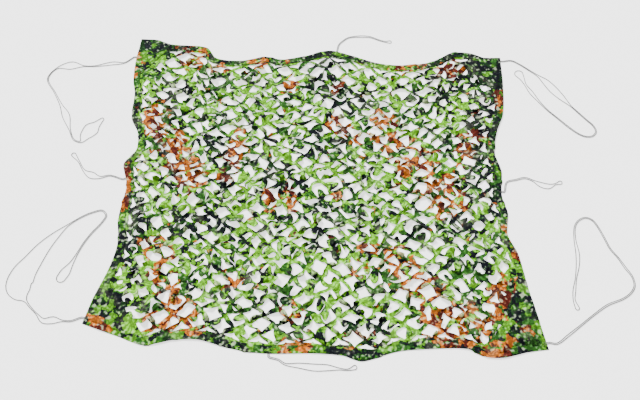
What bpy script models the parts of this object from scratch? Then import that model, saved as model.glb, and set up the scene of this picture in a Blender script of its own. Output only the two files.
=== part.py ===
"""Leaf-cut camouflage net with bound edges, corner patches and eight doubled ties.

The net lies spread out on a floor.  Metres, +Z up, far edge towards +Y.
The plan is drawn first and then centred, so the net's middle is over the
origin and its underside is at z = 0.
"""
import math
import random

import bmesh
import bpy
from mathutils import Vector, geometry

# ---------------------------------------------------------------- driving sizes

CLOTH = 0.0010              # thickness of the net cloth, the binding and the patches
CLEARANCE = 0.0004          # air between cloth layers that are sewn together
BINDING_WIDTH = 0.035       # how far each leg of the folded binding reaches in
PATCH_CLEARANCE = 0.0010    # from the binding's leg to the patch beside it
CORD = 0.0040               # diameter of the tie cord
CORD_CLEARANCE = 0.0003     # from a cord's end to the binding it leaves
CORD_REST = 0.0001          # the cords' lowest line above the floor

NET_LIFT = CLOTH + CLEARANCE                        # net over the binding's lower leg
BINDING_HEIGHT = 3 * CLOTH + 2 * CLEARANCE          # lower leg, net, upper leg
PATCH_LIFT = NET_LIFT + CLOTH + CLEARANCE           # patch over the net
NET_INSET = CLOTH + CLEARANCE                       # net's edge inside the binding's fold
HEM_LINE = BINDING_WIDTH + 0.005                    # flat margin of the net
FIELD_LINE = 0.048                                  # where the cut field begins

CORNERS = {
    "far_left": (-0.984, 0.872),
    "far_right": (1.005, 0.745),
    "near_right": (0.991, -0.816),
    "near_left": (-1.022, -0.706),
}

# Each edge wanders off the straight line between its corners.
# Columns: distance along that line, how far the edge stands out from it.
FAR_EDGE = (
    (0.09, 0.000), (0.17, -0.025), (0.38, -0.040), (0.43, -0.100), (0.58, -0.110),
    (0.70, -0.078), (0.79, -0.092), (0.94, -0.053), (1.07, -0.012), (1.17, -0.037),
    (1.31, -0.078), (1.42, -0.088), (1.50, -0.080), (1.60, -0.060), (1.67, -0.020),
    (1.73, 0.018), (1.84, 0.018), (1.90, -0.004),
)
RIGHT_EDGE = (
    (0.20, -0.010), (0.38, -0.038), (0.47, -0.078), (0.61, -0.108), (0.70, -0.088),
    (0.84, -0.103), (0.93, -0.088), (1.04, -0.105), (1.13, -0.070), (1.30, -0.045),
    (1.45, -0.020),
)
NEAR_EDGE = (
    (0.10, 0.018), (0.19, 0.043), (0.27, 0.045), (0.34, 0.018), (0.50, 0.024),
    (0.65, 0.045), (0.80, 0.092), (0.87, 0.074), (1.00, 0.070), (1.22, 0.082),
    (1.38, 0.066), (1.50, 0.040), (1.62, 0.050), (1.73, 0.076), (1.84, 0.048),
)
LEFT_EDGE = (
    (0.10, -0.023), (0.24, -0.066), (0.36, -0.086), (0.51, -0.067), (0.68, -0.074),
    (0.79, -0.040), (0.87, -0.088), (0.98, -0.076), (1.05, -0.036), (1.22, -0.021),
    (1.29, -0.002), (1.43, 0.009),
)
SIDES = {                   # clockwise round the net, seen from above
    "far": ("far_left", "far_right", FAR_EDGE),
    "right": ("far_right", "near_right", RIGHT_EDGE),
    "near": ("near_right", "near_left", NEAR_EDGE),
    "left": ("near_left", "far_left", LEFT_EDGE),
}
STATION_STEP = 0.065        # longest straight facet along an edge
LEAN = 0.5                  # how far the binding's legs follow the edge's wander

# Leaf cuts, opened to gaps in a staggered field
GAP_COLUMNS = 11
GAP_ROWS = 20
FIRST_GAP = 0.42            # middle of a row's first gap, in pitches from the margin
FIRST_ROW = 0.74            # middle of the first row, in rows from the margin
FIELD_PITCHES = GAP_COLUMNS - 0.5 + 2 * FIRST_GAP
FIELD_ROWS = GAP_ROWS - 1 + 2 * FIRST_ROW
GAP_SIDES = 8
GAP_SHARE = 0.58            # gap size as a share of its diamond of the field
GAP_SQUARENESS = 1.5        # 1 is a diamond, 2 an ellipse
GAP_LEAN = 0.16             # gaps lean to one side in even rows, the other in odd
GAP_UNEVEN = 0.11           # how far each gap's corners wander
GAP_DRIFT = 0.06            # how far each gap's middle wanders, in pitches
UNEVEN_SEED = 11
GAP_TO_PATCH = 0.018        # uncut cloth left beside a patch's free edge
LEDGE_POINTS = 3            # points that hold the net flat beside a patch's free edge
LEDGE = 0.006               # how far beyond that edge they lie
SAME_POINT = 1e-7           # points closer than this are one

# Soft folds that stand up in the net.
# Columns: start x, start y, end x, end y, height, half width.
FOLDS = (
    (-0.850, 0.320, -0.740, 0.080, 0.016, 0.036),
    (-0.740, 0.080, -0.620, -0.080, 0.013, 0.034),
    (-0.850, -0.240, -0.810, -0.450, 0.012, 0.032),
    (-0.810, -0.450, -0.720, -0.600, 0.010, 0.034),
    (0.640, -0.300, 0.800, -0.480, 0.014, 0.036),
    (0.780, -0.180, 0.830, -0.400, 0.010, 0.034),
    (-0.420, 0.600, -0.300, 0.360, 0.010, 0.050),
    (0.240, 0.600, 0.330, 0.330, 0.011, 0.050),
    (-0.300, -0.560, -0.120, -0.360, 0.009, 0.050),
    (0.080, 0.060, 0.260, -0.160, 0.010, 0.055),
)

# Uncut patch in each corner.
# Columns: corner, reach along the side before it, reach along the side after it.
PATCHES = (
    ("far_left", 0.270, 0.190),
    ("far_right", 0.190, 0.300),
    ("near_right", 0.330, 0.250),
    ("near_left", 0.200, 0.240),
)

# Ties: a cord doubled, both ends in the binding and the bight free.
# Row: side, distance along it, then the route of the pair's middle.
# Route columns: x, y, how far apart the two strands lie.
TIES = {
    "tie_far_left": ("left", 1.455, (
        (-1.055, 0.711, 0.006), (-1.120, 0.707, 0.020), (-1.215, 0.688, 0.006),
        (-1.275, 0.688, 0.007), (-1.345, 0.692, 0.050), (-1.419, 0.672, 0.007),
        (-1.453, 0.605, 0.006), (-1.396, 0.512, 0.006), (-1.348, 0.435, 0.012),
        (-1.308, 0.367, 0.036), (-1.271, 0.281, 0.007), (-1.238, 0.222, 0.006),
        (-1.203, 0.210, 0.010), (-1.183, 0.250, 0.060), (-1.160, 0.287, 0.080),
        (-1.138, 0.316, 0.040), (-1.116, 0.345, 0.018))),
    "tie_left": ("left", 0.725, (
        (-1.021, 0.018, 0.006), (-1.068, 0.008, 0.012), (-1.112, 0.020, 0.034),
        (-1.154, 0.046, 0.010), (-1.190, 0.098, 0.007), (-1.222, 0.135, 0.022))),
    "tie_near_left": ("left", 0.035, (
        (-1.073, -0.694, 0.006), (-1.112, -0.693, 0.007), (-1.152, -0.690, 0.030),
        (-1.195, -0.692, 0.020), (-1.228, -0.664, 0.006), (-1.265, -0.632, 0.006),
        (-1.292, -0.604, 0.012), (-1.318, -0.572, 0.080), (-1.337, -0.530, 0.118),
        (-1.330, -0.482, 0.114), (-1.303, -0.425, 0.090), (-1.268, -0.358, 0.066),
        (-1.225, -0.299, 0.038), (-1.172, -0.243, 0.008), (-1.109, -0.198, 0.006),
        (-1.065, -0.178, 0.006), (-1.026, -0.170, 0.006), (-1.003, -0.195, 0.006),
        (-1.020, -0.236, 0.006), (-1.055, -0.284, 0.006), (-1.083, -0.333, 0.006),
        (-1.104, -0.385, 0.007), (-1.122, -0.432, 0.018), (-1.142, -0.474, 0.044),
        (-1.155, -0.500, 0.042))),
    "tie_far_right": ("right", 0.030, (
        (1.063, 0.724, 0.006), (1.103, 0.700, 0.006), (1.146, 0.663, 0.006),
        (1.192, 0.622, 0.010), (1.226, 0.583, 0.036), (1.258, 0.532, 0.046),
        (1.292, 0.482, 0.034), (1.330, 0.428, 0.007), (1.361, 0.386, 0.006),
        (1.394, 0.342, 0.006), (1.422, 0.305, 0.006), (1.429, 0.270, 0.006),
        (1.404, 0.243, 0.006), (1.368, 0.241, 0.006), (1.335, 0.258, 0.006),
        (1.292, 0.299, 0.007), (1.250, 0.348, 0.006), (1.202, 0.404, 0.006),
        (1.166, 0.460, 0.010), (1.138, 0.512, 0.020), (1.114, 0.566, 0.010),
        (1.104, 0.602, 0.024), (1.091, 0.634, 0.046))),
    "tie_right": ("right", 0.800, (
        (0.928, -0.020, 0.006), (0.976, -0.006, 0.007), (1.022, 0.004, 0.008),
        (1.059, -0.011, 0.008), (1.093, -0.032, 0.026), (1.128, -0.041, 0.026),
        (1.163, -0.030, 0.007), (1.190, -0.021, 0.018))),
    "tie_near_right": ("right", 1.540, (
        (1.028, -0.791, 0.006), (1.089, -0.753, 0.008), (1.154, -0.709, 0.006),
        (1.221, -0.663, 0.006), (1.287, -0.623, 0.007), (1.360, -0.596, 0.006),
        (1.402, -0.569, 0.006), (1.425, -0.537, 0.006), (1.425, -0.496, 0.006),
        (1.404, -0.454, 0.008), (1.382, -0.406, 0.006), (1.356, -0.363, 0.006),
        (1.340, -0.308, 0.006), (1.321, -0.250, 0.006), (1.304, -0.220, 0.006),
        (1.275, -0.207, 0.006), (1.238, -0.222, 0.006), (1.215, -0.252, 0.006),
        (1.202, -0.313, 0.008), (1.200, -0.387, 0.016), (1.190, -0.439, 0.014),
        (1.168, -0.505, 0.006), (1.150, -0.560, 0.012), (1.141, -0.601, 0.009),
        (1.148, -0.637, 0.018))),
    "tie_far": ("far", 1.095, (
        (0.120, 0.836, 0.006), (0.143, 0.862, 0.006), (0.171, 0.884, 0.006),
        (0.211, 0.893, 0.008), (0.250, 0.894, 0.012), (0.290, 0.892, 0.009),
        (0.320, 0.880, 0.007), (0.350, 0.866, 0.007), (0.380, 0.857, 0.008),
        (0.404, 0.856, 0.018))),
    "tie_near": ("near", 1.180, (
        (-0.162, -0.857, 0.006), (-0.135, -0.874, 0.007), (-0.075, -0.880, 0.020),
        (-0.010, -0.888, 0.028), (0.045, -0.889, 0.024), (0.095, -0.894, 0.008),
        (0.132, -0.897, 0.006), (0.160, -0.888, 0.018))),
}
CORD_ROUNDNESS = 2          # bevel resolution of the cord
BIGHT_POINTS = 4            # points round the free bight
CORD_LEAD = 0.012           # straight run out of the binding
CORD_STEP = 0.055           # longest straight facet of a tie

COLOURS = {                 # base colour, roughness
    "net": ((0.16, 0.33, 0.05, 1.0), 0.75),
    "binding": ((0.07, 0.13, 0.05, 1.0), 0.80),
    "patch": ((0.11, 0.22, 0.05, 1.0), 0.78),
    "tie": ((0.19, 0.19, 0.18, 1.0), 0.70),
}


# --------------------------------------------------------------- small helpers

def smooth_point(before, start, end, after, share):
    """Point at share of the way from start to end on a curve through all four."""
    times = [0.0]
    for one, other in ((before, start), (start, end), (end, after)):
        times.append(times[-1] + math.sqrt((other - one).length))
    now = times[1] + (times[2] - times[1]) * share

    def blend(one, other, first, last):
        return one.lerp(other, (now - times[first]) / (times[last] - times[first]))

    early = blend(before, start, 0, 1)
    middle = blend(start, end, 1, 2)
    late = blend(end, after, 2, 3)
    return blend(blend(early, middle, 0, 2), blend(middle, late, 1, 3), 1, 2)


def smooth_curve(knots, longest_step):
    """Points on a smooth curve through the knots, at the knots and between them."""
    padded = [2 * knots[0] - knots[1]] + list(knots) + [2 * knots[-1] - knots[-2]]
    points = []
    for index in range(1, len(padded) - 2):
        count = math.ceil((padded[index + 1] - padded[index]).length / longest_step)
        for step in range(count):
            points.append(smooth_point(*padded[index - 1:index + 3], step / count))
    return points + [knots[-1]]


def inward_of(direction):
    """Unit vector to the right of travel, which is into the net."""
    return Vector((direction.y, -direction.x)).normalized()


def smooth_step(value):
    value = min(max(value, 0.0), 1.0)
    return value * value * (3 - 2 * value)


# ------------------------------------------------------------------ net outline

def edge_line(side):
    """Stations of one edge from corner to corner, at the binding's outer face."""
    first, last, wander = SIDES[side]
    start = Vector(CORNERS[first])
    run = Vector(CORNERS[last]) - start
    along = run.normalized()
    outward = -inward_of(run)
    rows = ((0.0, 0.0),) + wander + ((run.length, 0.0),)
    knots = [start + along * distance + outward * out for distance, out in rows]
    return smooth_curve(knots, STATION_STEP)


def drawn_middle():
    points = [point for side in SIDES for point in edge_line(side)]
    spans = [[point[axis] for point in points] for axis in (0, 1)]
    return Vector([(min(span) + max(span)) / 2 for span in spans])


MIDDLE = drawn_middle()


def edge_stations(side):
    """Centred stations of one edge: a list of (outer point, way into the net)."""
    first, last, _ = SIDES[side]
    points = [point - MIDDLE for point in edge_line(side)]
    straight = inward_of(points[-1] - points[0])
    stations = []
    for index, point in enumerate(points):
        behind = points[max(index - 1, 0)]
        ahead = points[min(index + 1, len(points) - 1)]
        local = inward_of(ahead - behind)
        stations.append((point, (local * LEAN + straight * (1 - LEAN)).normalized()))
    stations[0] = (points[0], corner_mitre(first))
    stations[-1] = (points[-1], corner_mitre(last))
    return stations


def corner_mitre(corner):
    """Way into the net at a corner, long enough to stay level with both edges."""
    meeting = [Vector(CORNERS[end]) - Vector(CORNERS[start])
               for start, end, _ in SIDES.values() if corner in (start, end)]
    one, other = (inward_of(run) for run in meeting)
    return (one + other) / (1 + one.dot(other))


def ring(inset):
    """Closed outline of the net, this far inside the binding's outer face."""
    points = []
    for side in SIDES:
        points += [point + inward * inset for point, inward in edge_stations(side)[:-1]]
    return points


# ------------------------------------------------------------- field of the net

FIELD_EDGES = {side: [point + inward * FIELD_LINE for point, inward in edge_stations(side)]
               for side in SIDES}


def along_line(points, share):
    """Point at a share of the length of a line of points."""
    lengths = [(b - a).length for a, b in zip(points, points[1:])]
    left = share * sum(lengths)
    for index, length in enumerate(lengths):
        if left <= length or index == len(lengths) - 1:
            return points[index].lerp(points[index + 1], left / length)
        left -= length


def field_point(across, up):
    """Plan point of the cut field: across from the left, up from the near edge."""
    far = along_line(FIELD_EDGES["far"], across)
    near = along_line(FIELD_EDGES["near"], 1 - across)
    left = along_line(FIELD_EDGES["left"], up)
    right = along_line(FIELD_EDGES["right"], 1 - up)
    far_left, far_right = FIELD_EDGES["far"][0], FIELD_EDGES["far"][-1]
    near_right, near_left = FIELD_EDGES["near"][0], FIELD_EDGES["near"][-1]
    corners = (
        near_left.lerp(near_right, across) * (1 - up)
        + far_left.lerp(far_right, across) * up
    )
    return near * (1 - up) + far * up + left * (1 - across) + right * across - corners


def fold_height(point):
    """Height of the folds at a plan point."""
    height = 0.0
    for start_x, start_y, end_x, end_y, rise, half_width in FOLDS:
        start = Vector((start_x, start_y))
        run = Vector((end_x, end_y)) - start
        share = min(max((point - start).dot(run) / run.length_squared, 0.0), 1.0)
        aside = (point - start - run * share).length
        height = max(height, rise * math.exp(-(aside / half_width) ** 2))
    return height


def fade_at_edge(across, up):
    """0 at the flat margin, 1 from a pitch inside it."""
    columns_in = min(across, 1 - across) * FIELD_PITCHES
    rows_in = min(up, 1 - up) * FIELD_ROWS / 2
    return smooth_step(min(columns_in, rows_in))


# ---------------------------------------------------------------- corner patches

def patch_outline(corner, reach_before, reach_after, inset):
    """Corner of the net between its two edges, this far inside the outer face."""
    before = next(side for side, row in SIDES.items() if row[1] == corner)
    after = next(side for side, row in SIDES.items() if row[0] == corner)
    turn = edge_stations(after)[0][0]
    points = []
    for point, inward in edge_stations(before)[:-1]:
        if (point - turn).length <= reach_before:
            points.append(point + inward * inset)
    for point, inward in edge_stations(after):
        if (point - turn).length <= reach_after:
            points.append(point + inward * inset)
    return points


PATCH_INSET = BINDING_WIDTH + PATCH_CLEARANCE
PATCH_OUTLINES = {corner: patch_outline(corner, before, after, PATCH_INSET)
                  for corner, before, after in PATCHES}


def under_patch(point, margin):
    """True where a plan point lies in a patch or within a margin of its free edge."""
    for outline in PATCH_OUTLINES.values():
        run = outline[0] - outline[-1]
        beyond = (point - outline[-1]).dot(-inward_of(run))
        reach = max((tip - outline[-1]).length for tip in outline)
        if beyond < margin and (point - outline[0]).length < reach:
            return True
    return False


# -------------------------------------------------------------------- net solid

def gap_outline(column, row, uneven):
    """Corners of one opened cut, as (across, up) shares of the field."""
    stagger = FIRST_GAP + 0.5 * (row % 2)
    middle_across = column + stagger + uneven.uniform(-1, 1) * GAP_DRIFT
    middle_across = min(max(middle_across, FIRST_GAP), FIELD_PITCHES - FIRST_GAP)
    middle_across /= FIELD_PITCHES
    middle_up = (row + FIRST_ROW + uneven.uniform(-1, 1) * GAP_DRIFT) / FIELD_ROWS
    half_across = GAP_SHARE * 0.5 / FIELD_PITCHES
    half_up = GAP_SHARE / FIELD_ROWS
    lean = GAP_LEAN if row % 2 == 0 else -GAP_LEAN
    corners = []
    for step in range(GAP_SIDES):
        angle = math.tau * (step + 0.5) / GAP_SIDES
        cosine, sine = math.cos(angle), math.sin(angle)
        power = GAP_SQUARENESS
        radius = (abs(cosine) ** power + abs(sine) ** power) ** (-1 / power)
        radius *= 1 + uneven.uniform(-1, 1) * GAP_UNEVEN
        across = middle_across + half_across * radius * (cosine + lean * sine)
        corners.append((across, middle_up + half_up * radius * sine))
    return corners


def gap_outlines():
    uneven = random.Random(UNEVEN_SEED)
    gaps = []
    for row in range(GAP_ROWS):
        for column in range(GAP_COLUMNS):
            corners = gap_outline(column, row, uneven)
            inside = all(0 < share < 1 for corner in corners for share in corner)
            covered = any(under_patch(field_point(*corner), GAP_TO_PATCH) for corner in corners)
            if inside and not covered:
                gaps.append(corners)
    return gaps


def make_net(collection):
    """One cloth: flat margin, gaps cut through, folds standing up in the field."""
    points, heights, loops = [], [], []

    def add_loop(plan, rise):
        loops.append(list(range(len(points), len(points) + len(plan))))
        points.extend(plan)
        heights.extend(rise)

    margin = ring(NET_INSET)[::-1]
    add_loop(margin, [NET_LIFT] * len(margin))
    for corners in gap_outlines():
        plan = [field_point(*corner) for corner in corners]
        rise = [fold_height(point) * fade_at_edge(*corner)
                for point, corner in zip(plan, corners)]
        add_loop(plan, rise)
    hem = ring(HEM_LINE)
    first = len(points)
    hem_edges = [(first + index, first + (index + 1) % len(hem)) for index in range(len(hem))]
    points += hem
    heights += [NET_LIFT] * len(hem)
    for outline in PATCH_OUTLINES.values():
        free_edge = outline[0] - outline[-1]
        beyond = -inward_of(free_edge) * LEDGE
        for number in range(1, LEDGE_POINTS + 1):
            share = number / (LEDGE_POINTS + 1)
            points.append(outline[-1] + free_edge * share + beyond)
            heights.append(NET_LIFT)
    filled = geometry.delaunay_2d_cdt(points, hem_edges, loops, 1, SAME_POINT)
    mesh_points, _, faces, sources, _, covers = filled
    mesh = bmesh.new()
    verts = [mesh.verts.new((point.x, point.y, heights[source[0]]))
             for point, source in zip(mesh_points, sources)]
    for face, cover in zip(faces, covers):
        if list(cover) == [0]:
            mesh.faces.new([verts[index] for index in face])
    bmesh.ops.delete(mesh, geom=[v for v in mesh.verts if not v.link_faces], context="VERTS")
    thicken(add_object("net_panel", mesh, "net", collection))


# ---------------------------------------------------------- binding and patches

def make_binding(side, collection):
    """Strip folded over one edge: lower leg, fold and upper leg, mitred ends."""
    upper = BINDING_HEIGHT - CLOTH
    profile = (             # inset from the outer face, height
        (BINDING_WIDTH, 0.0), (0.0, 0.0), (0.0, BINDING_HEIGHT), (BINDING_WIDTH, BINDING_HEIGHT),
        (BINDING_WIDTH, upper), (CLOTH, upper), (CLOTH, CLOTH), (BINDING_WIDTH, CLOTH),
    )
    stations = edge_stations(side)
    stations[0] = mitre_end(stations[0], stations[1])
    stations[-1] = mitre_end(stations[-1], stations[-2])
    mesh = bmesh.new()
    rows = []
    for point, inward in stations:
        places = [point + inward * inset for inset, _ in profile]
        rows.append([mesh.verts.new((place.x, place.y, height))
                     for place, (_, height) in zip(places, profile)])
    for one, other in zip(rows, rows[1:]):
        for index in range(len(profile)):
            after = (index + 1) % len(profile)
            mesh.faces.new((one[index], one[after], other[after], other[index]))
    mesh.faces.new(rows[0][::-1])
    mesh.faces.new(rows[-1])
    add_object("binding_" + side, mesh, "binding", collection)


def mitre_end(end, neighbour):
    """Draw an end station back along its edge, clear of the other binding."""
    point, inward = end
    return point + (neighbour[0] - point).normalized() * CLEARANCE, inward


def make_patch(corner, collection):
    outline = PATCH_OUTLINES[corner]
    mesh = bmesh.new()
    verts = [mesh.verts.new((point.x, point.y, PATCH_LIFT)) for point in reversed(outline)]
    mesh.faces.new(verts)
    thicken(add_object("patch_" + corner, mesh, "patch", collection))


# ------------------------------------------------------------------------- ties

def exit_on(side, distance):
    """Middle of the binding's facet nearest a distance along a side, and its way out."""
    points = [point for point, _ in edge_stations(side)]
    along = (points[-1] - points[0]).normalized()
    facets = list(zip(points, points[1:]))
    one, other = min(facets, key=lambda facet: abs(
        ((facet[0] + facet[1]) / 2 - points[0]).dot(along) - distance))
    return (one + other) / 2, -inward_of(other - one)


def tie_points(side, distance, route):
    """One strand's way out, round the bight and back, as plan points."""
    leaving, outward = exit_on(side, distance)
    spacing = route[0][2]
    knots = []
    for reach in (CORD_CLEARANCE, CORD_LEAD):
        point = leaving + outward * reach
        knots.append(Vector((point.x, point.y, spacing)))
    for x, y, apart in route:
        knots.append(Vector((x - MIDDLE.x, y - MIDDLE.y, apart)))
    curve = smooth_curve(knots, CORD_STEP)
    out, back = [], []
    for index, here in enumerate(curve):
        ahead = curve[min(index + 1, len(curve) - 1)]
        behind = curve[max(index - 1, 0)]
        aside = inward_of(outward if index == 0 else (ahead - behind).xy)
        out.append(here.xy + aside * here.z / 2)
        back.append(here.xy - aside * here.z / 2)
    half = (out[-1] - back[-1]) / 2
    onward = -inward_of(half) * half.length
    bight = []
    for number in range(1, BIGHT_POINTS + 1):
        angle = math.pi * number / (BIGHT_POINTS + 1)
        bight.append(curve[-1].xy + half * math.cos(angle) + onward * math.sin(angle))
    return out + bight + back[::-1]


def make_tie(name, collection):
    points = tie_points(*TIES[name])
    curve = bpy.data.curves.new(name, "CURVE")
    curve.dimensions = "3D"
    curve.bevel_depth = CORD / 2
    curve.bevel_resolution = CORD_ROUNDNESS
    curve.use_fill_caps = True
    spline = curve.splines.new("POLY")
    spline.points.add(len(points) - 1)
    for knot, point in zip(spline.points, points):
        knot.co = (point.x, point.y, CORD / 2 + CORD_REST, 1.0)
    tie = bpy.data.objects.new(name, curve)
    curve.materials.append(material("tie"))
    collection.objects.link(tie)


# --------------------------------------------------------------- scene building

def material(kind):
    """Principled material of one kind of piece, made once."""
    made = bpy.data.materials.get(kind)
    if made is None:
        colour, roughness = COLOURS[kind]
        made = bpy.data.materials.new(kind)
        made.use_nodes = True
        shader = made.node_tree.nodes["Principled BSDF"]
        shader.inputs["Base Color"].default_value = colour
        shader.inputs["Roughness"].default_value = roughness
        shader.inputs["Metallic"].default_value = 0.0
    return made


def add_object(name, mesh, kind, collection):
    data = bpy.data.meshes.new(name)
    mesh.to_mesh(data)
    mesh.free()
    data.materials.append(material(kind))
    piece = bpy.data.objects.new(name, data)
    collection.objects.link(piece)
    return piece


def thicken(piece):
    """Give an open sheet the cloth's thickness, above it."""
    modifier = piece.modifiers.new("thickness", "SOLIDIFY")
    modifier.thickness = CLOTH
    modifier.offset = 1.0
    modifier.use_even_offset = True


def main():
    for old in list(bpy.data.objects):
        bpy.data.objects.remove(old, do_unlink=True)
    collection = bpy.data.collections.new("camouflage_net")
    bpy.context.scene.collection.children.link(collection)
    make_net(collection)
    for side in SIDES:
        make_binding(side, collection)
    for corner in PATCH_OUTLINES:
        make_patch(corner, collection)
    for name in TIES:
        make_tie(name, collection)


main()
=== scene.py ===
# %% [markdown]
# # A leaf-cut camouflage net, spread on the floor
# This lesson builds the looks of a camouflage net of about 2.0 by 1.6 metres. The real one
# is one printed cloth with rows of leaf-shaped cuts. Pulled wide, each cut opens to a gap
# and leaves a small tongue of cloth that curls. A folded binding runs round the edge, an
# uncut patch strengthens each corner, and eight doubled cords tie the net down.
# Everything is in metres, +Z up, and the far edge lies towards +Y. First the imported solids
# are loaded. They say where each piece belongs and how much room it has.

# %% Load the solids
import bisect
import math
import random

import bpy
import numpy as np
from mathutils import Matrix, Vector, geometry, noise


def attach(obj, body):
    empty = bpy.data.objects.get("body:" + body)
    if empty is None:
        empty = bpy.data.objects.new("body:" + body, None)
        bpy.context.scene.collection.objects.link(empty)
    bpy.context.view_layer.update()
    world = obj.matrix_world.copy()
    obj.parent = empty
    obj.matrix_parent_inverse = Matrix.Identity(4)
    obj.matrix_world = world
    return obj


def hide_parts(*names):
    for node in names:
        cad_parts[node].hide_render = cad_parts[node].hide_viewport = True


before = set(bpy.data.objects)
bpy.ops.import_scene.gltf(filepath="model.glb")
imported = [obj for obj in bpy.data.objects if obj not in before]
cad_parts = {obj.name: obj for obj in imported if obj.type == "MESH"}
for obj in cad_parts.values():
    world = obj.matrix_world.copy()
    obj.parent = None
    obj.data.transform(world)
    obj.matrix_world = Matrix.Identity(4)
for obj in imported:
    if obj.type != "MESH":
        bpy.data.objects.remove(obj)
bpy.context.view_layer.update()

# %% [markdown]
# ## The camera
# The net is seen from high above its near edge. The place and tilt of the camera come from
# the net itself: seen from 65.6 degrees above the floor, its four corners become a
# rectangle and its cuts get one even spacing. The same numbers turn a place in the picture
# into a place on the floor, which is handy for laying the colours of the print later.

# %% Camera
PICTURE_MIDDLE = (320, 200)          # pixels
PICTURE_REACH = 520                  # focal length in pixels, with 640 across
CAMERA_PLACE = Vector((0.0225, -1.1539, 2.2847))
CAMERA_RISE = math.radians(65.6)     # above the floor
SENSOR = 36.0


def new_object(name, data):
    """An object with this data in the scene, at the origin."""
    made = bpy.data.objects.new(name, data)
    bpy.context.collection.objects.link(made)
    return made


camera_data = bpy.data.cameras.new("camera")
camera_data.sensor_width = SENSOR
camera_data.lens = SENSOR * PICTURE_REACH / (2 * PICTURE_MIDDLE[0])
camera = new_object("camera", camera_data)
camera.location = CAMERA_PLACE
camera.rotation_euler = (math.pi / 2 - CAMERA_RISE, 0, 0)
bpy.context.scene.camera = camera


def floor_point(pixel_x, pixel_y):
    """Place on the floor that shows at a pixel of the picture."""
    aside = (pixel_x - PICTURE_MIDDLE[0]) / PICTURE_REACH
    above = (PICTURE_MIDDLE[1] - pixel_y) / PICTURE_REACH
    rise, lean = math.sin(CAMERA_RISE), math.cos(CAMERA_RISE)
    reach = CAMERA_PLACE.z / (rise - above * lean)
    return Vector((CAMERA_PLACE.x + aside * reach,
                   CAMERA_PLACE.y + (lean + above * rise) * reach))


print("lens", round(camera_data.lens, 2), "middle of the view", floor_point(*PICTURE_MIDDLE))

# %% [markdown]
# ## The outline that every piece follows
# The binding, the net, the patches and the ties all hang on one outline. It is drawn as
# four corners and four short tables that say how far each edge wanders off the straight
# line. A smooth curve through the rows gives the edge its soft waves.

# %% Outline tables
CORNERS = {
    "far_left": (-0.984, 0.872),
    "far_right": (1.005, 0.745),
    "near_right": (0.991, -0.816),
    "near_left": (-1.022, -0.706),
}
# Columns: distance along the straight line, how far the edge stands out from it.
FAR_EDGE = (
    (0.09, 0.000), (0.17, -0.025), (0.38, -0.040), (0.43, -0.100), (0.58, -0.110),
    (0.70, -0.078), (0.79, -0.092), (0.94, -0.053), (1.07, -0.012), (1.17, -0.037),
    (1.31, -0.078), (1.42, -0.088), (1.50, -0.080), (1.60, -0.060), (1.67, -0.020),
    (1.73, 0.018), (1.84, 0.018), (1.90, -0.004),
)
RIGHT_EDGE = (
    (0.20, -0.010), (0.38, -0.038), (0.47, -0.078), (0.61, -0.108), (0.70, -0.088),
    (0.84, -0.103), (0.93, -0.088), (1.04, -0.105), (1.13, -0.070), (1.30, -0.045),
    (1.45, -0.020),
)
NEAR_EDGE = (
    (0.10, 0.018), (0.19, 0.043), (0.27, 0.045), (0.34, 0.018), (0.50, 0.024),
    (0.65, 0.045), (0.80, 0.092), (0.87, 0.074), (1.00, 0.070), (1.22, 0.082),
    (1.38, 0.066), (1.50, 0.040), (1.62, 0.050), (1.73, 0.076), (1.84, 0.048),
)
LEFT_EDGE = (
    (0.10, -0.023), (0.24, -0.066), (0.36, -0.086), (0.51, -0.067), (0.68, -0.074),
    (0.79, -0.040), (0.87, -0.088), (0.98, -0.076), (1.05, -0.036), (1.22, -0.021),
    (1.29, -0.002), (1.43, 0.009),
)
SIDES = {                   # clockwise round the net, seen from above
    "far": ("far_left", "far_right", FAR_EDGE),
    "right": ("far_right", "near_right", RIGHT_EDGE),
    "near": ("near_right", "near_left", NEAR_EDGE),
    "left": ("near_left", "far_left", LEFT_EDGE),
}
STATION_STEP = 0.065        # longest straight piece of the solid's edge
LEAN = 0.5                  # how far the binding's legs follow the edge's wander

# %% [markdown]
# The tables become stations. Each edge gets points at most 65 mm apart on its smooth
# curve, centred on the net, and at each point the way into the net. At a corner that way
# is the mitre, which stays level with both edges.

# %% Outline curves
def smooth_point(before, start, end, after, share):
    """Point at share of the way from start to end on a curve through all four."""
    times = [0.0]
    for one, other in ((before, start), (start, end), (end, after)):
        times.append(times[-1] + math.sqrt((other - one).length))
    now = times[1] + (times[2] - times[1]) * share

    def blend(one, other, first, last):
        return one.lerp(other, (now - times[first]) / (times[last] - times[first]))

    early = blend(before, start, 0, 1)
    middle = blend(start, end, 1, 2)
    late = blend(end, after, 2, 3)
    return blend(blend(early, middle, 0, 2), blend(middle, late, 1, 3), 1, 2)


def smooth_curve(knots, longest_step=None, counts=None):
    """Points on a smooth curve through the knots, with a longest step or set counts."""
    padded = [2 * knots[0] - knots[1]] + list(knots) + [2 * knots[-1] - knots[-2]]
    points = []
    for index in range(1, len(padded) - 2):
        if counts:
            count = counts[index - 1]
        else:
            count = math.ceil((padded[index + 1] - padded[index]).length / longest_step)
        for step in range(count):
            points.append(smooth_point(*padded[index - 1:index + 3], step / count))
    return points + [knots[-1]]


def inward_of(direction):
    """Unit vector to the right of travel, which is into the net."""
    return Vector((direction.y, -direction.x)).normalized()


def smooth_step(value):
    """Soft step from 0 to 1 as the value goes from 0 to 1."""
    value = min(max(value, 0.0), 1.0)
    return value * value * (3 - 2 * value)


def edge_line(side):
    """Stations of one edge from corner to corner, at the binding's outer face."""
    first, last, wander = SIDES[side]
    start = Vector(CORNERS[first])
    run = Vector(CORNERS[last]) - start
    along = run.normalized()
    outward = -inward_of(run)
    rows = ((0.0, 0.0),) + wander + ((run.length, 0.0),)
    return smooth_curve([start + along * distance + outward * out for distance, out in rows],
                        STATION_STEP)


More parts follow.
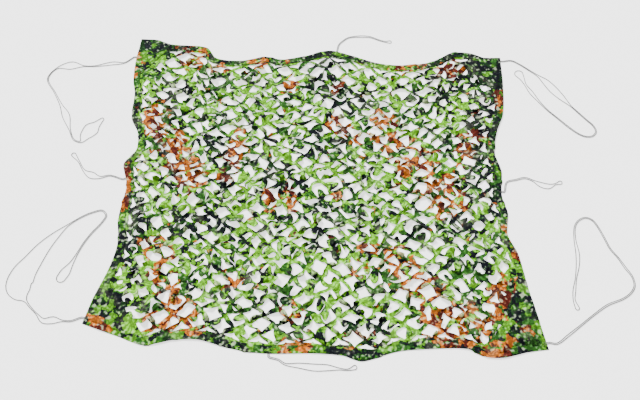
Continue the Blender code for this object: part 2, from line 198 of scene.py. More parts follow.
def drawn_middle():
    """Middle of the drawn outline, which becomes the origin."""
    points = [point for side in SIDES for point in edge_line(side)]
    spans = [[point[axis] for point in points] for axis in (0, 1)]
    return Vector([(min(span) + max(span)) / 2 for span in spans])


MIDDLE = drawn_middle()


def corner_mitre(corner):
    """Way into the net at a corner, long enough to stay level with both edges."""
    meeting = [Vector(CORNERS[end]) - Vector(CORNERS[start])
               for start, end, _ in SIDES.values() if corner in (start, end)]
    one, other = (inward_of(run) for run in meeting)
    return (one + other) / (1 + one.dot(other))


def edge_stations(side):
    """Centred stations of one edge: a list of (outer point, way into the net)."""
    first, last, _ = SIDES[side]
    points = [point - MIDDLE for point in edge_line(side)]
    straight = inward_of(points[-1] - points[0])
    stations = []
    for index, point in enumerate(points):
        behind = points[max(index - 1, 0)]
        ahead = points[min(index + 1, len(points) - 1)]
        local = inward_of(ahead - behind)
        stations.append((point, (local * LEAN + straight * (1 - LEAN)).normalized()))
    stations[0] = (points[0], corner_mitre(first))
    stations[-1] = (points[-1], corner_mitre(last))
    return stations


STATIONS = {side: edge_stations(side) for side in SIDES}
print("outline:", {side: len(rows) for side, rows in STATIONS.items()}, "stations")

# %% [markdown]
# ## The eight ties
# Each tie is one thin cord doubled: both ends leave the binding together, the pair wanders
# over the floor, and the closed bight lies free. A route table gives the middle of the
# pair and how far apart the strands lie. The strands are then worked out on either side of
# it, and a half circle closes the bight. The routes are the same as the solids'.

# %% Routes of the ties
CORD = 0.0040               # diameter
CORD_CLEARANCE = 0.0003     # from the binding's outer face to the cord's exit
CORD_REST = 0.0001          # lowest line above the floor
CORD_LEAD = 0.012           # straight run out of the binding
CORD_STEP = 0.012           # longest step of the smooth line
CORD_TUCK = 0.010           # how far the ends run into the binding
BIGHT_POINTS = 9

# Row: side, distance along it, then the route of the pair's middle.
# Route columns: x, y, how far apart the two strands lie.
TIES = {
    "tie_far_left": ("left", 1.455, (
        (-1.055, 0.711, 0.006), (-1.120, 0.707, 0.020), (-1.215, 0.688, 0.006),
        (-1.275, 0.688, 0.007), (-1.345, 0.692, 0.050), (-1.419, 0.672, 0.007),
        (-1.453, 0.605, 0.006), (-1.396, 0.512, 0.006), (-1.348, 0.435, 0.012),
        (-1.308, 0.367, 0.036), (-1.271, 0.281, 0.007), (-1.238, 0.222, 0.006),
        (-1.203, 0.210, 0.010), (-1.183, 0.250, 0.060), (-1.160, 0.287, 0.080),
        (-1.138, 0.316, 0.040), (-1.116, 0.345, 0.018))),
    "tie_left": ("left", 0.725, (
        (-1.021, 0.018, 0.006), (-1.068, 0.008, 0.012), (-1.112, 0.020, 0.034),
        (-1.154, 0.046, 0.010), (-1.190, 0.098, 0.007), (-1.222, 0.135, 0.022))),
    "tie_near_left": ("left", 0.035, (
        (-1.073, -0.694, 0.006), (-1.112, -0.693, 0.007), (-1.152, -0.690, 0.030),
        (-1.195, -0.692, 0.020), (-1.228, -0.664, 0.006), (-1.265, -0.632, 0.006),
        (-1.292, -0.604, 0.012), (-1.318, -0.572, 0.080), (-1.337, -0.530, 0.118),
        (-1.330, -0.482, 0.114), (-1.303, -0.425, 0.090), (-1.268, -0.358, 0.066),
        (-1.225, -0.299, 0.038), (-1.172, -0.243, 0.008), (-1.109, -0.198, 0.006),
        (-1.065, -0.178, 0.006), (-1.026, -0.170, 0.006), (-1.003, -0.195, 0.006),
        (-1.020, -0.236, 0.006), (-1.055, -0.284, 0.006), (-1.083, -0.333, 0.006),
        (-1.104, -0.385, 0.007), (-1.122, -0.432, 0.018), (-1.142, -0.474, 0.044),
        (-1.155, -0.500, 0.042))),
    "tie_far_right": ("right", 0.030, (
        (1.063, 0.724, 0.006), (1.103, 0.700, 0.006), (1.146, 0.663, 0.006),
        (1.192, 0.622, 0.010), (1.226, 0.583, 0.036), (1.258, 0.532, 0.046),
        (1.292, 0.482, 0.034), (1.330, 0.428, 0.007), (1.361, 0.386, 0.006),
        (1.394, 0.342, 0.006), (1.422, 0.305, 0.006), (1.429, 0.270, 0.006),
        (1.404, 0.243, 0.006), (1.368, 0.241, 0.006), (1.335, 0.258, 0.006),
        (1.292, 0.299, 0.007), (1.250, 0.348, 0.006), (1.202, 0.404, 0.006),
        (1.166, 0.460, 0.010), (1.138, 0.512, 0.020), (1.114, 0.566, 0.010),
        (1.104, 0.602, 0.024), (1.091, 0.634, 0.046))),
    "tie_right": ("right", 0.800, (
        (0.928, -0.020, 0.006), (0.976, -0.006, 0.007), (1.022, 0.004, 0.008),
        (1.059, -0.011, 0.008), (1.093, -0.032, 0.026), (1.128, -0.041, 0.026),
        (1.163, -0.030, 0.007), (1.190, -0.021, 0.018))),
    "tie_near_right": ("right", 1.540, (
        (1.028, -0.791, 0.006), (1.089, -0.753, 0.008), (1.154, -0.709, 0.006),
        (1.221, -0.663, 0.006), (1.287, -0.623, 0.007), (1.360, -0.596, 0.006),
        (1.402, -0.569, 0.006), (1.425, -0.537, 0.006), (1.425, -0.496, 0.006),
        (1.404, -0.454, 0.008), (1.382, -0.406, 0.006), (1.356, -0.363, 0.006),
        (1.340, -0.308, 0.006), (1.321, -0.250, 0.006), (1.304, -0.220, 0.006),
        (1.275, -0.207, 0.006), (1.238, -0.222, 0.006), (1.215, -0.252, 0.006),
        (1.202, -0.313, 0.008), (1.200, -0.387, 0.016), (1.190, -0.439, 0.014),
        (1.168, -0.505, 0.006), (1.150, -0.560, 0.012), (1.141, -0.601, 0.009),
        (1.148, -0.637, 0.018))),
    "tie_far": ("far", 1.095, (
        (0.120, 0.836, 0.006), (0.143, 0.862, 0.006), (0.171, 0.884, 0.006),
        (0.211, 0.893, 0.008), (0.250, 0.894, 0.012), (0.290, 0.892, 0.009),
        (0.320, 0.880, 0.007), (0.350, 0.866, 0.007), (0.380, 0.857, 0.008),
        (0.404, 0.856, 0.018))),
    "tie_near": ("near", 1.180, (
        (-0.162, -0.857, 0.006), (-0.135, -0.874, 0.007), (-0.075, -0.880, 0.020),
        (-0.010, -0.888, 0.028), (0.045, -0.889, 0.024), (0.095, -0.894, 0.008),
        (0.132, -0.897, 0.006), (0.160, -0.888, 0.018))),
}


def exit_on(side, distance):
    """Middle of the edge's facet nearest a distance along a side, and its way out."""
    points = [point for point, _ in STATIONS[side]]
    along = (points[-1] - points[0]).normalized()
    one, other = min(zip(points, points[1:]), key=lambda facet: abs(
        ((facet[0] + facet[1]) / 2 - points[0]).dot(along) - distance))
    return (one + other) / 2, -inward_of(other - one)


def tie_line(side, distance, route):
    """Centreline of one tie: out, round the bight and back, as points in space."""
    leaving, outward = exit_on(side, distance)
    spacing = route[0][2]
    knots = []
    for reach in (-CORD_TUCK, CORD_CLEARANCE, CORD_LEAD):
        point = leaving + outward * reach
        knots.append(Vector((point.x, point.y, spacing)))
    for x, y, apart in route:
        knots.append(Vector((x - MIDDLE.x, y - MIDDLE.y, apart)))
    curve = smooth_curve(knots, CORD_STEP)
    out, back = [], []
    for index, here in enumerate(curve):
        ahead = curve[min(index + 1, len(curve) - 1)]
        behind = curve[max(index - 1, 0)]
        aside = inward_of((ahead - behind).xy)
        out.append(here.xy + aside * here.z / 2)
        back.append(here.xy - aside * here.z / 2)
    half = (out[-1] - back[-1]) / 2
    onward = -inward_of(half) * half.length
    bight = []
    for number in range(1, BIGHT_POINTS + 1):
        angle = math.pi * number / (BIGHT_POINTS + 1)
        bight.append(curve[-1].xy + half * math.cos(angle) + onward * math.sin(angle))
    height = CORD / 2 + CORD_REST
    return [Vector((point.x, point.y, height)) for point in out + bight + back[::-1]]


def length_of(points):
    """Length of the line through the points."""
    return sum((b - a).length for a, b in zip(points, points[1:]))


TIE_LINES = {name: tie_line(*row) for name, row in TIES.items()}
print("tie lengths:", {name: round(length_of(line), 3) for name, line in TIE_LINES.items()})

# %% [markdown]
# ## Helpers for node trees
# Materials and Geometry Nodes are both built from small nodes. A few short helpers keep the
# cells readable: one makes an empty tree with named sockets, and another adds a node, sets
# its options and feeds its inputs with numbers or with other nodes' outputs. A tree is then
# run on a piece, and what comes out is kept as a plain mesh.

# %% Node helpers
SOCKETS = {"value": "NodeSocketFloat", "count": "NodeSocketInt", "vector": "NodeSocketVector",
           "colour": "NodeSocketColor", "shape": "NodeSocketGeometry",
           "material": "NodeSocketMaterial"}
MIX_ONE, MIX_OTHER, MIX_RESULT = 6, 7, 2     # the colour sockets of a Mix node


def new_tree(name, kind, inputs, outputs):
    """An empty node group with named sockets: inputs (name, sort, value), outputs (name, sort)."""
    tree = bpy.data.node_groups.new(name, kind)
    for label, sort, value in inputs:
        socket = tree.interface.new_socket(label, in_out="INPUT", socket_type=SOCKETS[sort])
        if value is not None:
            socket.default_value = value
    for label, sort in outputs:
        tree.interface.new_socket(label, in_out="OUTPUT", socket_type=SOCKETS[sort])
    return tree, tree.nodes.new("NodeGroupInput").outputs, tree.nodes.new("NodeGroupOutput").inputs


def feed(tree, socket, value):
    """Join a socket to another node's output, or set it; None leaves it as it is."""
    if isinstance(value, bpy.types.NodeSocket):
        tree.links.new(value, socket)
    elif value is not None:
        socket.default_value = value


def add(tree, kind, *values, inputs=None, **options):
    """A node with its options set and its inputs fed, in order or by name; gives its outputs."""
    node = tree.nodes.new(kind)
    for option, value in options.items():
        setattr(node, option, value)
    for socket, value in zip([s for s in node.inputs if s.enabled], values):
        feed(tree, socket, value)
    for label, value in (inputs or {}).items():
        feed(tree, node.inputs[label], value)
    return node.outputs


def calc(tree, operation, *values):
    """One sum on numbers."""
    return add(tree, "ShaderNodeMath", *values, operation=operation)[0]


def vector_calc(tree, operation, *values):
    """One sum on vectors."""
    results = add(tree, "ShaderNodeVectorMath", *values, operation=operation)
    return next(socket for socket in results if socket.enabled)


def upwards(tree, height):
    """A vector that points straight up, of a given height."""
    return add(tree, "ShaderNodeCombineXYZ", 0.0, 0.0, height)[0]


def to_range(tree, value, low, high, out_low=0.0, out_high=1.0, easing="SMOOTHSTEP"):
    """Value stretched from low..high to out_low..out_high, with soft ends."""
    return add(tree, "ShaderNodeMapRange", value, low, high, out_low, out_high,
               interpolation_type=easing)[0]


def noise_at(tree, place, scale, detail):
    """Noise texture at a place; its first output is the value, its second the colour."""
    return add(tree, "ShaderNodeTexNoise",
               inputs={"Vector": place, "Scale": scale, "Detail": detail})


def scale_for(tree, size):
    """The noise scale that gives spots of a size in metres."""
    return calc(tree, "DIVIDE", 1.0, size)


def move_points(tree, shape, offset):
    """A shape with each point moved by its own offset."""
    return add(tree, "GeometryNodeSetPosition", inputs={"Geometry": shape, "Offset": offset})[0]


def finish_tree(tree, shape, material, result):
    """End a tree: shade it smooth, realize what is instanced and set the material."""
    smooth = add(tree, "GeometryNodeSetShadeSmooth", shape)[0]
    real = add(tree, "GeometryNodeRealizeInstances", smooth)[0]
    coated = add(tree, "GeometryNodeSetMaterial", inputs={"Geometry": real, "Material": material})
    feed(tree, result, coated[0])


def plain_mesh(piece):
    """A piece's mesh with its modifiers worked out."""
    bpy.context.view_layer.update()
    shape = piece.evaluated_get(bpy.context.evaluated_depsgraph_get())
    return bpy.data.meshes.new_from_object(shape)


def run_tree(piece, tree, **values):
    """Run a Geometry Nodes tree on a piece with named inputs, and keep the plain mesh."""
    modifier = piece.modifiers.new(tree.name, "NODES")
    modifier.node_group = tree
    sockets = {item.name: item.identifier for item in tree.interface.items_tree
               if item.in_out == "INPUT"}
    for label, value in values.items():
        modifier[sockets[label]] = value
    mesh = plain_mesh(piece)
    name = piece.name
    mesh.name = name
    bpy.data.objects.remove(piece, do_unlink=True)
    return new_object(name, mesh)


def triangles(piece):
    """How many triangles a piece has."""
    return sum(len(face.vertices) - 2 for face in piece.data.polygons)


def face_out(piece):
    """Turn a closed mesh right side out: inside out, the volume it holds comes out below 0."""
    mesh = piece.data
    mesh.calc_loop_triangles()
    volume = 0.0
    for triangle in mesh.loop_triangles:
        a, b, c = (mesh.vertices[index].co for index in triangle.vertices)
        volume += a.dot(b.cross(c))
    if volume < 0:
        mesh.flip_normals()


# %% [markdown]
# ## Yarn and fibre
# The cord, the thread and the cloth share two effects. Fibres give a fine uneven tone and a
# tiny relief. Handling leaves pale rubbed places and a little floor dust. Each effect is
# one group with named inputs, so every material can use it with its own sizes.

# %% Shared effects
def make_fibre_group():
    tree, given, result = new_tree(
        "fibre", "ShaderNodeTree",
        [("Vector", "vector", None), ("Size", "value", 0.002)],
        [("Tone", "value"), ("Height", "value")])
    fine = noise_at(tree, given["Vector"], scale_for(tree, given["Size"]), detail=3.0)[0]
    feed(tree, result["Tone"], to_range(tree, fine, 0.3, 0.7, 0.88, 1.08))
    feed(tree, result["Height"], fine)
    return tree


def make_wear_group():
    tree, given, result = new_tree(
        "handling_wear", "ShaderNodeTree",
        [("Vector", "vector", None), ("Patch Size", "value", 0.08), ("Amount", "value", 0.25)],
        [("Fade", "value"), ("Dust", "value")])
    for label, size_factor, low, high in (("Fade", 1.0, 0.50, 0.72), ("Dust", 0.35, 0.58, 0.80)):
        size = calc(tree, "MULTIPLY", given["Patch Size"], size_factor)
        cloud = noise_at(tree, given["Vector"], scale_for(tree, size), detail=4.0)[0]
        mask = to_range(tree, cloud, low, high)
        feed(tree, result[label], calc(tree, "MULTIPLY", mask, given["Amount"]))
    return tree


FIBRE = make_fibre_group()
WEAR = make_wear_group()


def put_group(tree, group, **values):
    """A shared group in a material; gives its outputs."""
    inputs = {label.replace("_", " "): value for label, value in values.items()}
    return add(tree, "ShaderNodeGroup", inputs=inputs, node_tree=group)


def new_material(name, roughness, specular):
    """A material with a plain Principled shader; gives it, its tree and the shader."""
    made = bpy.data.materials.new(name)
    made.use_nodes = True
    shader = made.node_tree.nodes["Principled BSDF"]
    shader.inputs["Roughness"].default_value = roughness
    shader.inputs["Specular IOR Level"].default_value = specular
    return made, made.node_tree, shader


def mix_colours(tree, share, one, other, kind="MIX"):
    """The first colour with a share of the other in it."""
    return add(tree, "ShaderNodeMix", inputs={"Factor": share, MIX_ONE: one, MIX_OTHER: other},
               data_type="RGBA", blend_type=kind)[MIX_RESULT]


def add_relief(tree, shader, height, distance, strength):
    """A fine relief on a shader's surface."""
    bump = add(tree, "ShaderNodeBump",
               inputs={"Distance": distance, "Strength": strength, "Height": height})
    feed(tree, shader.inputs["Normal"], bump[0])


def make_yarn_material(name, roughness, specular, grain, colours, wear_mask, wear_amount, relief):
    """Twisted yarn with a fibre grain, in a second colour where it is worn."""
    made, tree, shader = new_material(name, roughness, specular)
    place = add(tree, "ShaderNodeTexCoord")["Object"]
    fibre = put_group(tree, FIBRE, Vector=place, Size=grain)
    wear = put_group(tree, WEAR, Vector=place, Patch_Size=0.05, Amount=wear_amount)
    toned = mix_colours(tree, wear[wear_mask], *colours)
    feed(tree, shader.inputs["Base Color"],
         mix_colours(tree, 1.0, toned, fibre["Tone"], kind="MULTIPLY"))
    add_relief(tree, shader, fibre["Height"], *relief)
    return made


print("groups:", [group.name for group in bpy.data.node_groups])

# %% [markdown]
# ## A twisted cord
# The ties are grey three-ply cord. A plain tube would show none of its lay, and three
# curves drawn by hand would take thousands of points. So a Geometry Nodes tree follows the
# tie's line: it copies it once for each ply, pushes each copy off the middle by an angle
# that turns along the length, and wraps a round profile about it.

# %% Cord tree
def make_cord_tree():
    tree, given, result = new_tree(
        "twisted_cord", "GeometryNodeTree",
        [("Line", "shape", None), ("Diameter", "value", CORD), ("Lay", "value", 0.016),
         ("Plies", "count", 3), ("Steps a Turn", "value", 6.0), ("Fullness", "value", 0.29),
         ("Material", "material", None)],
        [("Cord", "shape")])
    step = calc(tree, "DIVIDE", given["Lay"], given["Steps a Turn"])
    evened = add(tree, "GeometryNodeResampleCurve", mode="LENGTH",
                 inputs={"Curve": given["Line"], "Length": step})
    plies = add(tree, "GeometryNodeDuplicateElements", domain="SPLINE",
                inputs={"Geometry": evened[0], "Amount": given["Plies"]})
    along = add(tree, "GeometryNodeSplineParameter")["Length"]
    turns = calc(tree, "ADD", calc(tree, "DIVIDE", along, given["Lay"]),
                 calc(tree, "DIVIDE", plies["Duplicate Index"], given["Plies"]))
    angle = calc(tree, "MULTIPLY", turns, math.tau)
    tangent = add(tree, "GeometryNodeInputTangent")[0]
    aside = vector_calc(tree, "CROSS_PRODUCT", (0, 0, 1), tangent)
    ply_radius = calc(tree, "MULTIPLY", given["Diameter"], given["Fullness"])
    reach = calc(tree, "SUBTRACT", calc(tree, "MULTIPLY", given["Diameter"], 0.5), ply_radius)
    across = calc(tree, "MULTIPLY", reach, calc(tree, "COSINE", angle))
    upward = calc(tree, "MULTIPLY", reach, calc(tree, "SINE", angle))
    shift = vector_calc(tree, "ADD", vector_calc(tree, "SCALE", aside, across),
                        upwards(tree, upward))
    twisted = move_points(tree, plies["Geometry"], shift)
    profile = add(tree, "GeometryNodeCurvePrimitiveCircle",
                  inputs={"Resolution": 6, "Radius": ply_radius})[0]
    wrapped = add(tree, "GeometryNodeCurveToMesh",
                  inputs={"Curve": twisted, "Profile Curve": profile, "Fill Caps": True})[0]
    finish_tree(tree, wrapped, given["Material"], result["Cord"])
    return tree


CORD_TREE = make_cord_tree()
print("cord tree:", len(CORD_TREE.nodes), "nodes")

# %% [markdown]
# The cord's finish is a matt dark grey. Its yarn is hairy, so the fibre noise gives each
# ply a fine grain, and the wear group darkens it in places.

# %% Cord material
CORD_PALE = (0.075, 0.075, 0.070, 1)
CORD_GREY = (0.040, 0.040, 0.037, 1)
CORD_MATERIAL = make_yarn_material(
    "pale_cord", roughness=0.85, specular=0.2, grain=0.0008, colours=(CORD_PALE, CORD_GREY),
    wear_mask="Dust", wear_amount=0.7, relief=(0.0002, 0.5))
print("cord colours:", CORD_PALE[:3], "to", CORD_GREY[:3])

# %% [markdown]
# Each tie's line becomes a curve of one open spline, the tree twists it, and the tie takes
# the place of its solid.

# %% Ties
def line_object(name, lines):
    """A curve object with one straight-jointed spline for each list of points."""
    data = bpy.data.curves.new(name, "CURVE")
    data.dimensions = "3D"
    for line in lines:
        spline = data.splines.new("POLY")
        spline.points.add(len(line) - 1)
        for knot, point in zip(spline.points, line):
            knot.co = (*point, 1.0)
    return new_object(name, data)


def stands_for(piece, node):
    """Hide the solid a piece replaces and attach the piece to the root body."""
    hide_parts(node)
    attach(piece, "root")


def make_tie(name):
    line = TIE_LINES[name]
    tie = run_tree(line_object(name + "_cord", [line]), CORD_TREE,
                   Diameter=CORD, Material=CORD_MATERIAL)
    face_out(tie)
    stands_for(tie, name)
    return tie


for tie_name in TIES:
    made_tie = make_tie(tie_name)
    print(made_tie.name, triangles(made_tie), "triangles")

# %% [markdown]
# ## Rails round the edge
# The solids' edge is made of short straight facets. The cloth that is seen needs a smooth
# one, so fine rails run through the same stations. A rail can be drawn at any inset from
# the outer face, and all rails share the same station numbers. That lets the hem, the
# binding and the stitches be laid side by side without a twist.

# %% Rails
RAIL_STEP = 0.008           # longest straight piece of the seen edge
FIELD_LINE = 0.040          # inset where the cut field begins
RAILS = {}


def facet_counts(side):
    """How many fine steps each straight facet of a side gets."""
    points = [point for point, _ in STATIONS[side]]
    return [max(2, math.ceil((b - a).length / RAIL_STEP)) for a, b in zip(points, points[1:])]


def rail(side, inset):
    """Fine line along a side at an inset from the outer face, made once."""
    if (side, inset) not in RAILS:
        knots = [point + inward * inset for point, inward in STATIONS[side]]
        RAILS[side, inset] = smooth_curve(knots, counts=facet_counts(side))
    return RAILS[side, inset]


def running_lengths(points):
    """Length of the line so far, at each of its points."""
    totals = [0.0]
    for a, b in zip(points, points[1:]):
        totals.append(totals[-1] + (b - a).length)
    return totals


FIELD_LENGTHS = {side: running_lengths(rail(side, FIELD_LINE)) for side in SIDES}


def rail_place(side, share):
    """Station number, with a fraction, at a share of the cut field's edge."""
    totals = FIELD_LENGTHS[side]
    reach = share * totals[-1]
    index = min(max(bisect.bisect_right(totals, reach) - 1, 0), len(totals) - 2)
    return index + (reach - totals[index]) / (totals[index + 1] - totals[index])


def on_rail(side, place, inset=FIELD_LINE):
    """Plan point at a station number, with a fraction, of a rail."""
    line = rail(side, inset)
    index = min(int(place), len(line) - 2)
    return line[index].lerp(line[index + 1], place - index)


def field_point(across, up):
    """Plan point of the cut field: across from the left, up from the near edge."""
    far = on_rail("far", rail_place("far", across))
    near = on_rail("near", rail_place("near", 1 - across))
    left = on_rail("left", rail_place("left", up))
    right = on_rail("right", rail_place("right", 1 - up))
    far_rail, near_rail = rail("far", FIELD_LINE), rail("near", FIELD_LINE)
    corners = (near_rail[-1].lerp(near_rail[0], across) * (1 - up)
               + far_rail[0].lerp(far_rail[-1], across) * up)
    return near * (1 - up) + far * up + left * (1 - across) + right * across - corners


print("rails:", {side: len(rail(side, FIELD_LINE)) for side in SIDES})

# %% [markdown]
# ## How the cloth lies
# Nothing made of cloth lies quite flat. Ten soft folds stand up in the net where it was
# pushed together. They are placed as ridges, where the solid has them. Besides them the
# whole net, with its binding and patches, rides over low swells of a few millimetres. All
# layers take the same lift at the same spot, so they stay in order.
# The lift dies away where a tie leaves the binding, because the cord lies on the floor.

# %% Folds and swells
CLOTH = 0.0010              # thickness of the solid cloth
CLEARANCE = 0.0004          # air between layers in the solid
NET_LIFT = CLOTH + CLEARANCE
BINDING_WIDTH = 0.035
# Columns: start x, start y, end x, end y, height, half width.
FOLDS = (
    (-0.850, 0.320, -0.740, 0.080, 0.016, 0.036),
    (-0.740, 0.080, -0.620, -0.080, 0.013, 0.034),
    (-0.850, -0.240, -0.810, -0.450, 0.012, 0.032),
    (-0.810, -0.450, -0.720, -0.600, 0.010, 0.034),
    (0.640, -0.300, 0.800, -0.480, 0.014, 0.036),
    (0.780, -0.180, 0.830, -0.400, 0.010, 0.034),
    (-0.420, 0.600, -0.300, 0.360, 0.010, 0.050),
    (0.240, 0.600, 0.330, 0.330, 0.011, 0.050),
    (-0.300, -0.560, -0.120, -0.360, 0.009, 0.050),
    (0.080, 0.060, 0.260, -0.160, 0.010, 0.055),
)
SWELL_SIZE = 0.21
SWELL_HEIGHT = 0.0042
SWELL_SHARPNESS = 1.4       # higher, and the swells have steeper sides
TIE_CALM = 0.09             # the swells are gone this near a tie's exit
CALM_START = 0.3            # share of that way over which it lies quite still
TIE_EXITS = [exit_on(*row[:2])[0] for row in TIES.values()]


def wave_at(point, size, layer):
    """Smooth noise between about -1 and 1 at a size in metres; each layer is another noise."""
    return noise.noise(Vector((point.x / size, point.y / size, layer)))


def fold_height(point):
    """Height of the highest fold at a plan point."""
    height = 0.0
    for start_x, start_y, end_x, end_y, rise, half_width in FOLDS:
        start = Vector((start_x, start_y))
        run = Vector((end_x, end_y)) - start
        share = min(max((point - start).dot(run) / run.length_squared, 0.0), 1.0)
        aside = (point - start - run * share).length
        height = max(height, rise * math.exp(-(aside / half_width) ** 2))
    return height


def lift(point):
    """Low swell that every layer of cloth shares at a plan point."""
    calm = min((point - spot).length for spot in TIE_EXITS) / TIE_CALM
    wave = wave_at(point, SWELL_SIZE, 3.7)
    return SWELL_HEIGHT * smooth_step(0.5 + wave * SWELL_SHARPNESS) * smooth_step(calm - CALM_START)


print("swell at the middle:", round(lift(Vector((0, 0))) * 1000, 2), "mm")

# %% [markdown]
# ## Where the corners stay whole
# A patch of the same cloth is sewn over each corner, and nothing is cut under it. The
# patch is a triangle between the two edges. The outline that keeps the cuts out of it
# later draws it too.

# %% Corner areas
PATCH_INSET = BINDING_WIDTH + 0.001
PATCH_TUCK = 0.014          # how far the patch runs in under the binding
PATCH_NEARBY = 1.15         # a patch counts for points within this many of its reaches
# Columns: corner, reach along the side before it, reach along the side after it.
PATCHES = (
    ("far_left", 0.270, 0.190),
    ("far_right", 0.190, 0.300),
    ("near_right", 0.330, 0.250),
    ("near_left", 0.200, 0.240),
)


def sides_at(corner):
    """The side that ends at a corner and the one that starts there."""
    before = next(side for side, row in SIDES.items() if row[1] == corner)
    after = next(side for side, row in SIDES.items() if row[0] == corner)
    return before, after


def patch_edge(corner, reach_before, reach_after, inset):
    """Points of a corner's two edges between the ends of a patch, at an inset."""
    before, after = sides_at(corner)
    turn = STATIONS[after][0][0]

    def fine_part(side, reach):
        near = [index for index, (point, _) in enumerate(STATIONS[side])
                if (point - turn).length <= reach]
        counts = facet_counts(side)
        return rail(side, inset)[sum(counts[:near[0]]):sum(counts[:near[-1]]) + 1]

    return fine_part(before, reach_before)[:-1] + fine_part(after, reach_after)


PATCH_EDGES = {row[0]: patch_edge(*row, PATCH_INSET) for row in PATCHES}


def beyond_patch(point):
    """How far a plan point lies outside the nearest patch's free edge, below 0 inside."""
    nearest = 9.0
    for outline in PATCH_EDGES.values():
        run = outline[0] - outline[-1]
        beyond = (point - outline[-1]).dot(-inward_of(run))
        reach = max((tip - outline[-1]).length for tip in outline)
        if (point - outline[0]).length < reach * PATCH_NEARBY:
            nearest = min(nearest, beyond)
    return nearest


print("patch edges:", {corner: round(length_of(edge), 2) for corner, edge in PATCH_EDGES.items()})

# %% [markdown]
# ## The cuts of the net
# A leaf-cut net starts as whole cloth with short curved cuts in staggered rows. Pulled
# wide it becomes a lattice: rounded openings in diamond cells, and a tongue of cloth left
# hanging at one side of each. The lattice is a rule, so the mesh comes from one: nodes sit
# on a staggered grid, four points share each strip between two nodes, and rings of points
# shrink from the cell's border to its opening.

# %% Lattice of the cuts
COLUMNS = 17
ROWS = 36
HALVES = 2 * COLUMNS        # the lattice counts half pitches across
STRIP_PARTS = 4             # points along each strip between two nodes
ROUND = 4 * STRIP_PARTS     # points round each opening
NODE_WANDER = 0.0085
STRIP_BOW = 0.016           # a strip's middle is pulled aside by up to this much
STRIP_BOW_SIZE = 0.021
FIELD_WANDER = 0.018
FIELD_WANDER_SIZE = 0.24
CUT_SEED = 23
UNCUT_BESIDE_PATCH = 0.034  # from a patch to the middle of the nearest cut
cutting = random.Random(CUT_SEED)
NODE_SHIFTS = {(half, row): Vector((cutting.uniform(-1, 1), cutting.uniform(-1, 1))) * NODE_WANDER
               for row in range(ROWS + 1) for half in range(HALVES + 1)}
NODE_PLACES = {}


def inside_field(half, row):
    """0 at the margin of the field, 1 from two rows inside it."""
    return smooth_step(min(half, HALVES - half, row, ROWS - row) / 2)


def node_place(half, row):
    """Plan point of a lattice node, with the net's own unevenness."""
    if (half, row) not in NODE_PLACES:
        place = field_point(half / HALVES, row / ROWS)
        spot = Vector((place.x, place.y, 0.7)) / FIELD_WANDER_SIZE
        wave = Vector((noise.noise(spot), noise.noise(spot + Vector((0, 0, 9.3)))))
        wander = wave * FIELD_WANDER + NODE_SHIFTS[half, row]
        NODE_PLACES[half, row] = place + wander * inside_field(half, row)
    return NODE_PLACES[half, row]


def strip_points(one, other):
    """Points from one node towards another, the second left out: (key, plan point)."""
    low, high = sorted((one, other))
    run = node_place(*high) - node_place(*low)
    middle = (node_place(*high) + node_place(*low)) / 2
    bow = STRIP_BOW * noise.noise(Vector((middle.x, middle.y, 0.11)) / STRIP_BOW_SIZE)
    bow *= min(inside_field(*low), inside_field(*high))
    points = [(("node",) + one, node_place(*one))]
    for part in range(1, STRIP_PARTS):
        share = part / STRIP_PARTS
        place = node_place(*one).lerp(node_place(*other), share)
        place += inward_of(run) * bow * 4 * share * (1 - share)
        points.append((("strip", low, high, part if one == low else STRIP_PARTS - part), place))
    return points


def cell_border(half, row):
    """Border of one diamond cell, anticlockwise from its right corner.

    At the margin only half of the diamond is cloth, and its middle stands in for the
    corner that is missing.
    """
    corners = [(half + 1, row), (half, row + 1), (half - 1, row), (half, row - 1)]
    corners = [corner if 0 <= corner[0] <= HALVES and 0 <= corner[1] <= ROWS else (half, row)
               for corner in corners]
    border = []
    for one, other in zip(corners, corners[1:] + corners[:1]):
        border += strip_points(one, other)
    return border


cells = [(half, row) for row in range(ROWS + 1) for half in range(HALVES + 1)
         if (half + row) % 2 == 1]
inner_cells = [cell for cell in cells if 0 < cell[0] < HALVES and 0 < cell[1] < ROWS]
print(len(cells), "cells,", len(inner_cells), "of them inside the field")

# %% [markdown]
# Each opening gets a slightly different size and shape, and its tongue grows from one of
# its four sides: the rows take turns, so that the tongues lean to the left and right. Some
# tongues hang nearly flat into the opening, some stand up, and the rest are folded back so
# that the paler reverse of the cloth shows. Two openings in five have a second, smaller
# tongue on the opposite side. The bend itself comes later: here each point only notes how
# far along its tongue it lies, and which way that runs.

# %% Openings and tongues
OPENING_SHARES = (0.64, 0.73, 0.77, 0.73)     # of the way to the border: corner .. middle
END_SIZE = 0.98             # how far the openings near the net's ends are pulled apart
MIDDLE_SIZE = 0.30          # how much further those in the middle are
MIDDLE_AT = -0.02           # x of the middle of the wide openings
MIDDLE_HALF = 0.95          # half the length over which they are wider
MIDDLE_FADE = 0.42          # length over which they narrow to the size at the ends
OPENING_SIZES = (0.86, 1.04)          # least and most, of the size that suits the place
OVAL, THREE_SIDED = 0.09, 0.07        # how far openings are from round
NARROWEST_STRIP = 0.0100
OPENING_SLEW = 18           # openings are turned by up to this many degrees
HALFWAY_LIFT = 0.3          # edge lift halfway from the border to the opening
TONGUE_ROWS = 5
TONGUE_PARTS = 3
SMALL_TONGUE_SHARE = 0.40   # of the openings have a second, small tongue
SMALL_TONGUE = 0.50
SMALL_TONGUE_ROWS = 3
# Columns: share of all, least and most bend in degrees, least and most radius of the bend,
# least and most length as a share of TONGUE_LENGTH.
TONGUE_KINDS = (
    (0.58, 5, 40, 0.025, 0.045, 0.75, 1.15),
    (0.16, 60, 105, 0.009, 0.0115, 0.45, 0.55),
    (0.26, 140, 172, 0.0035, 0.0060, 0.50, 0.75),
)
TONGUE_LENGTH = 0.043
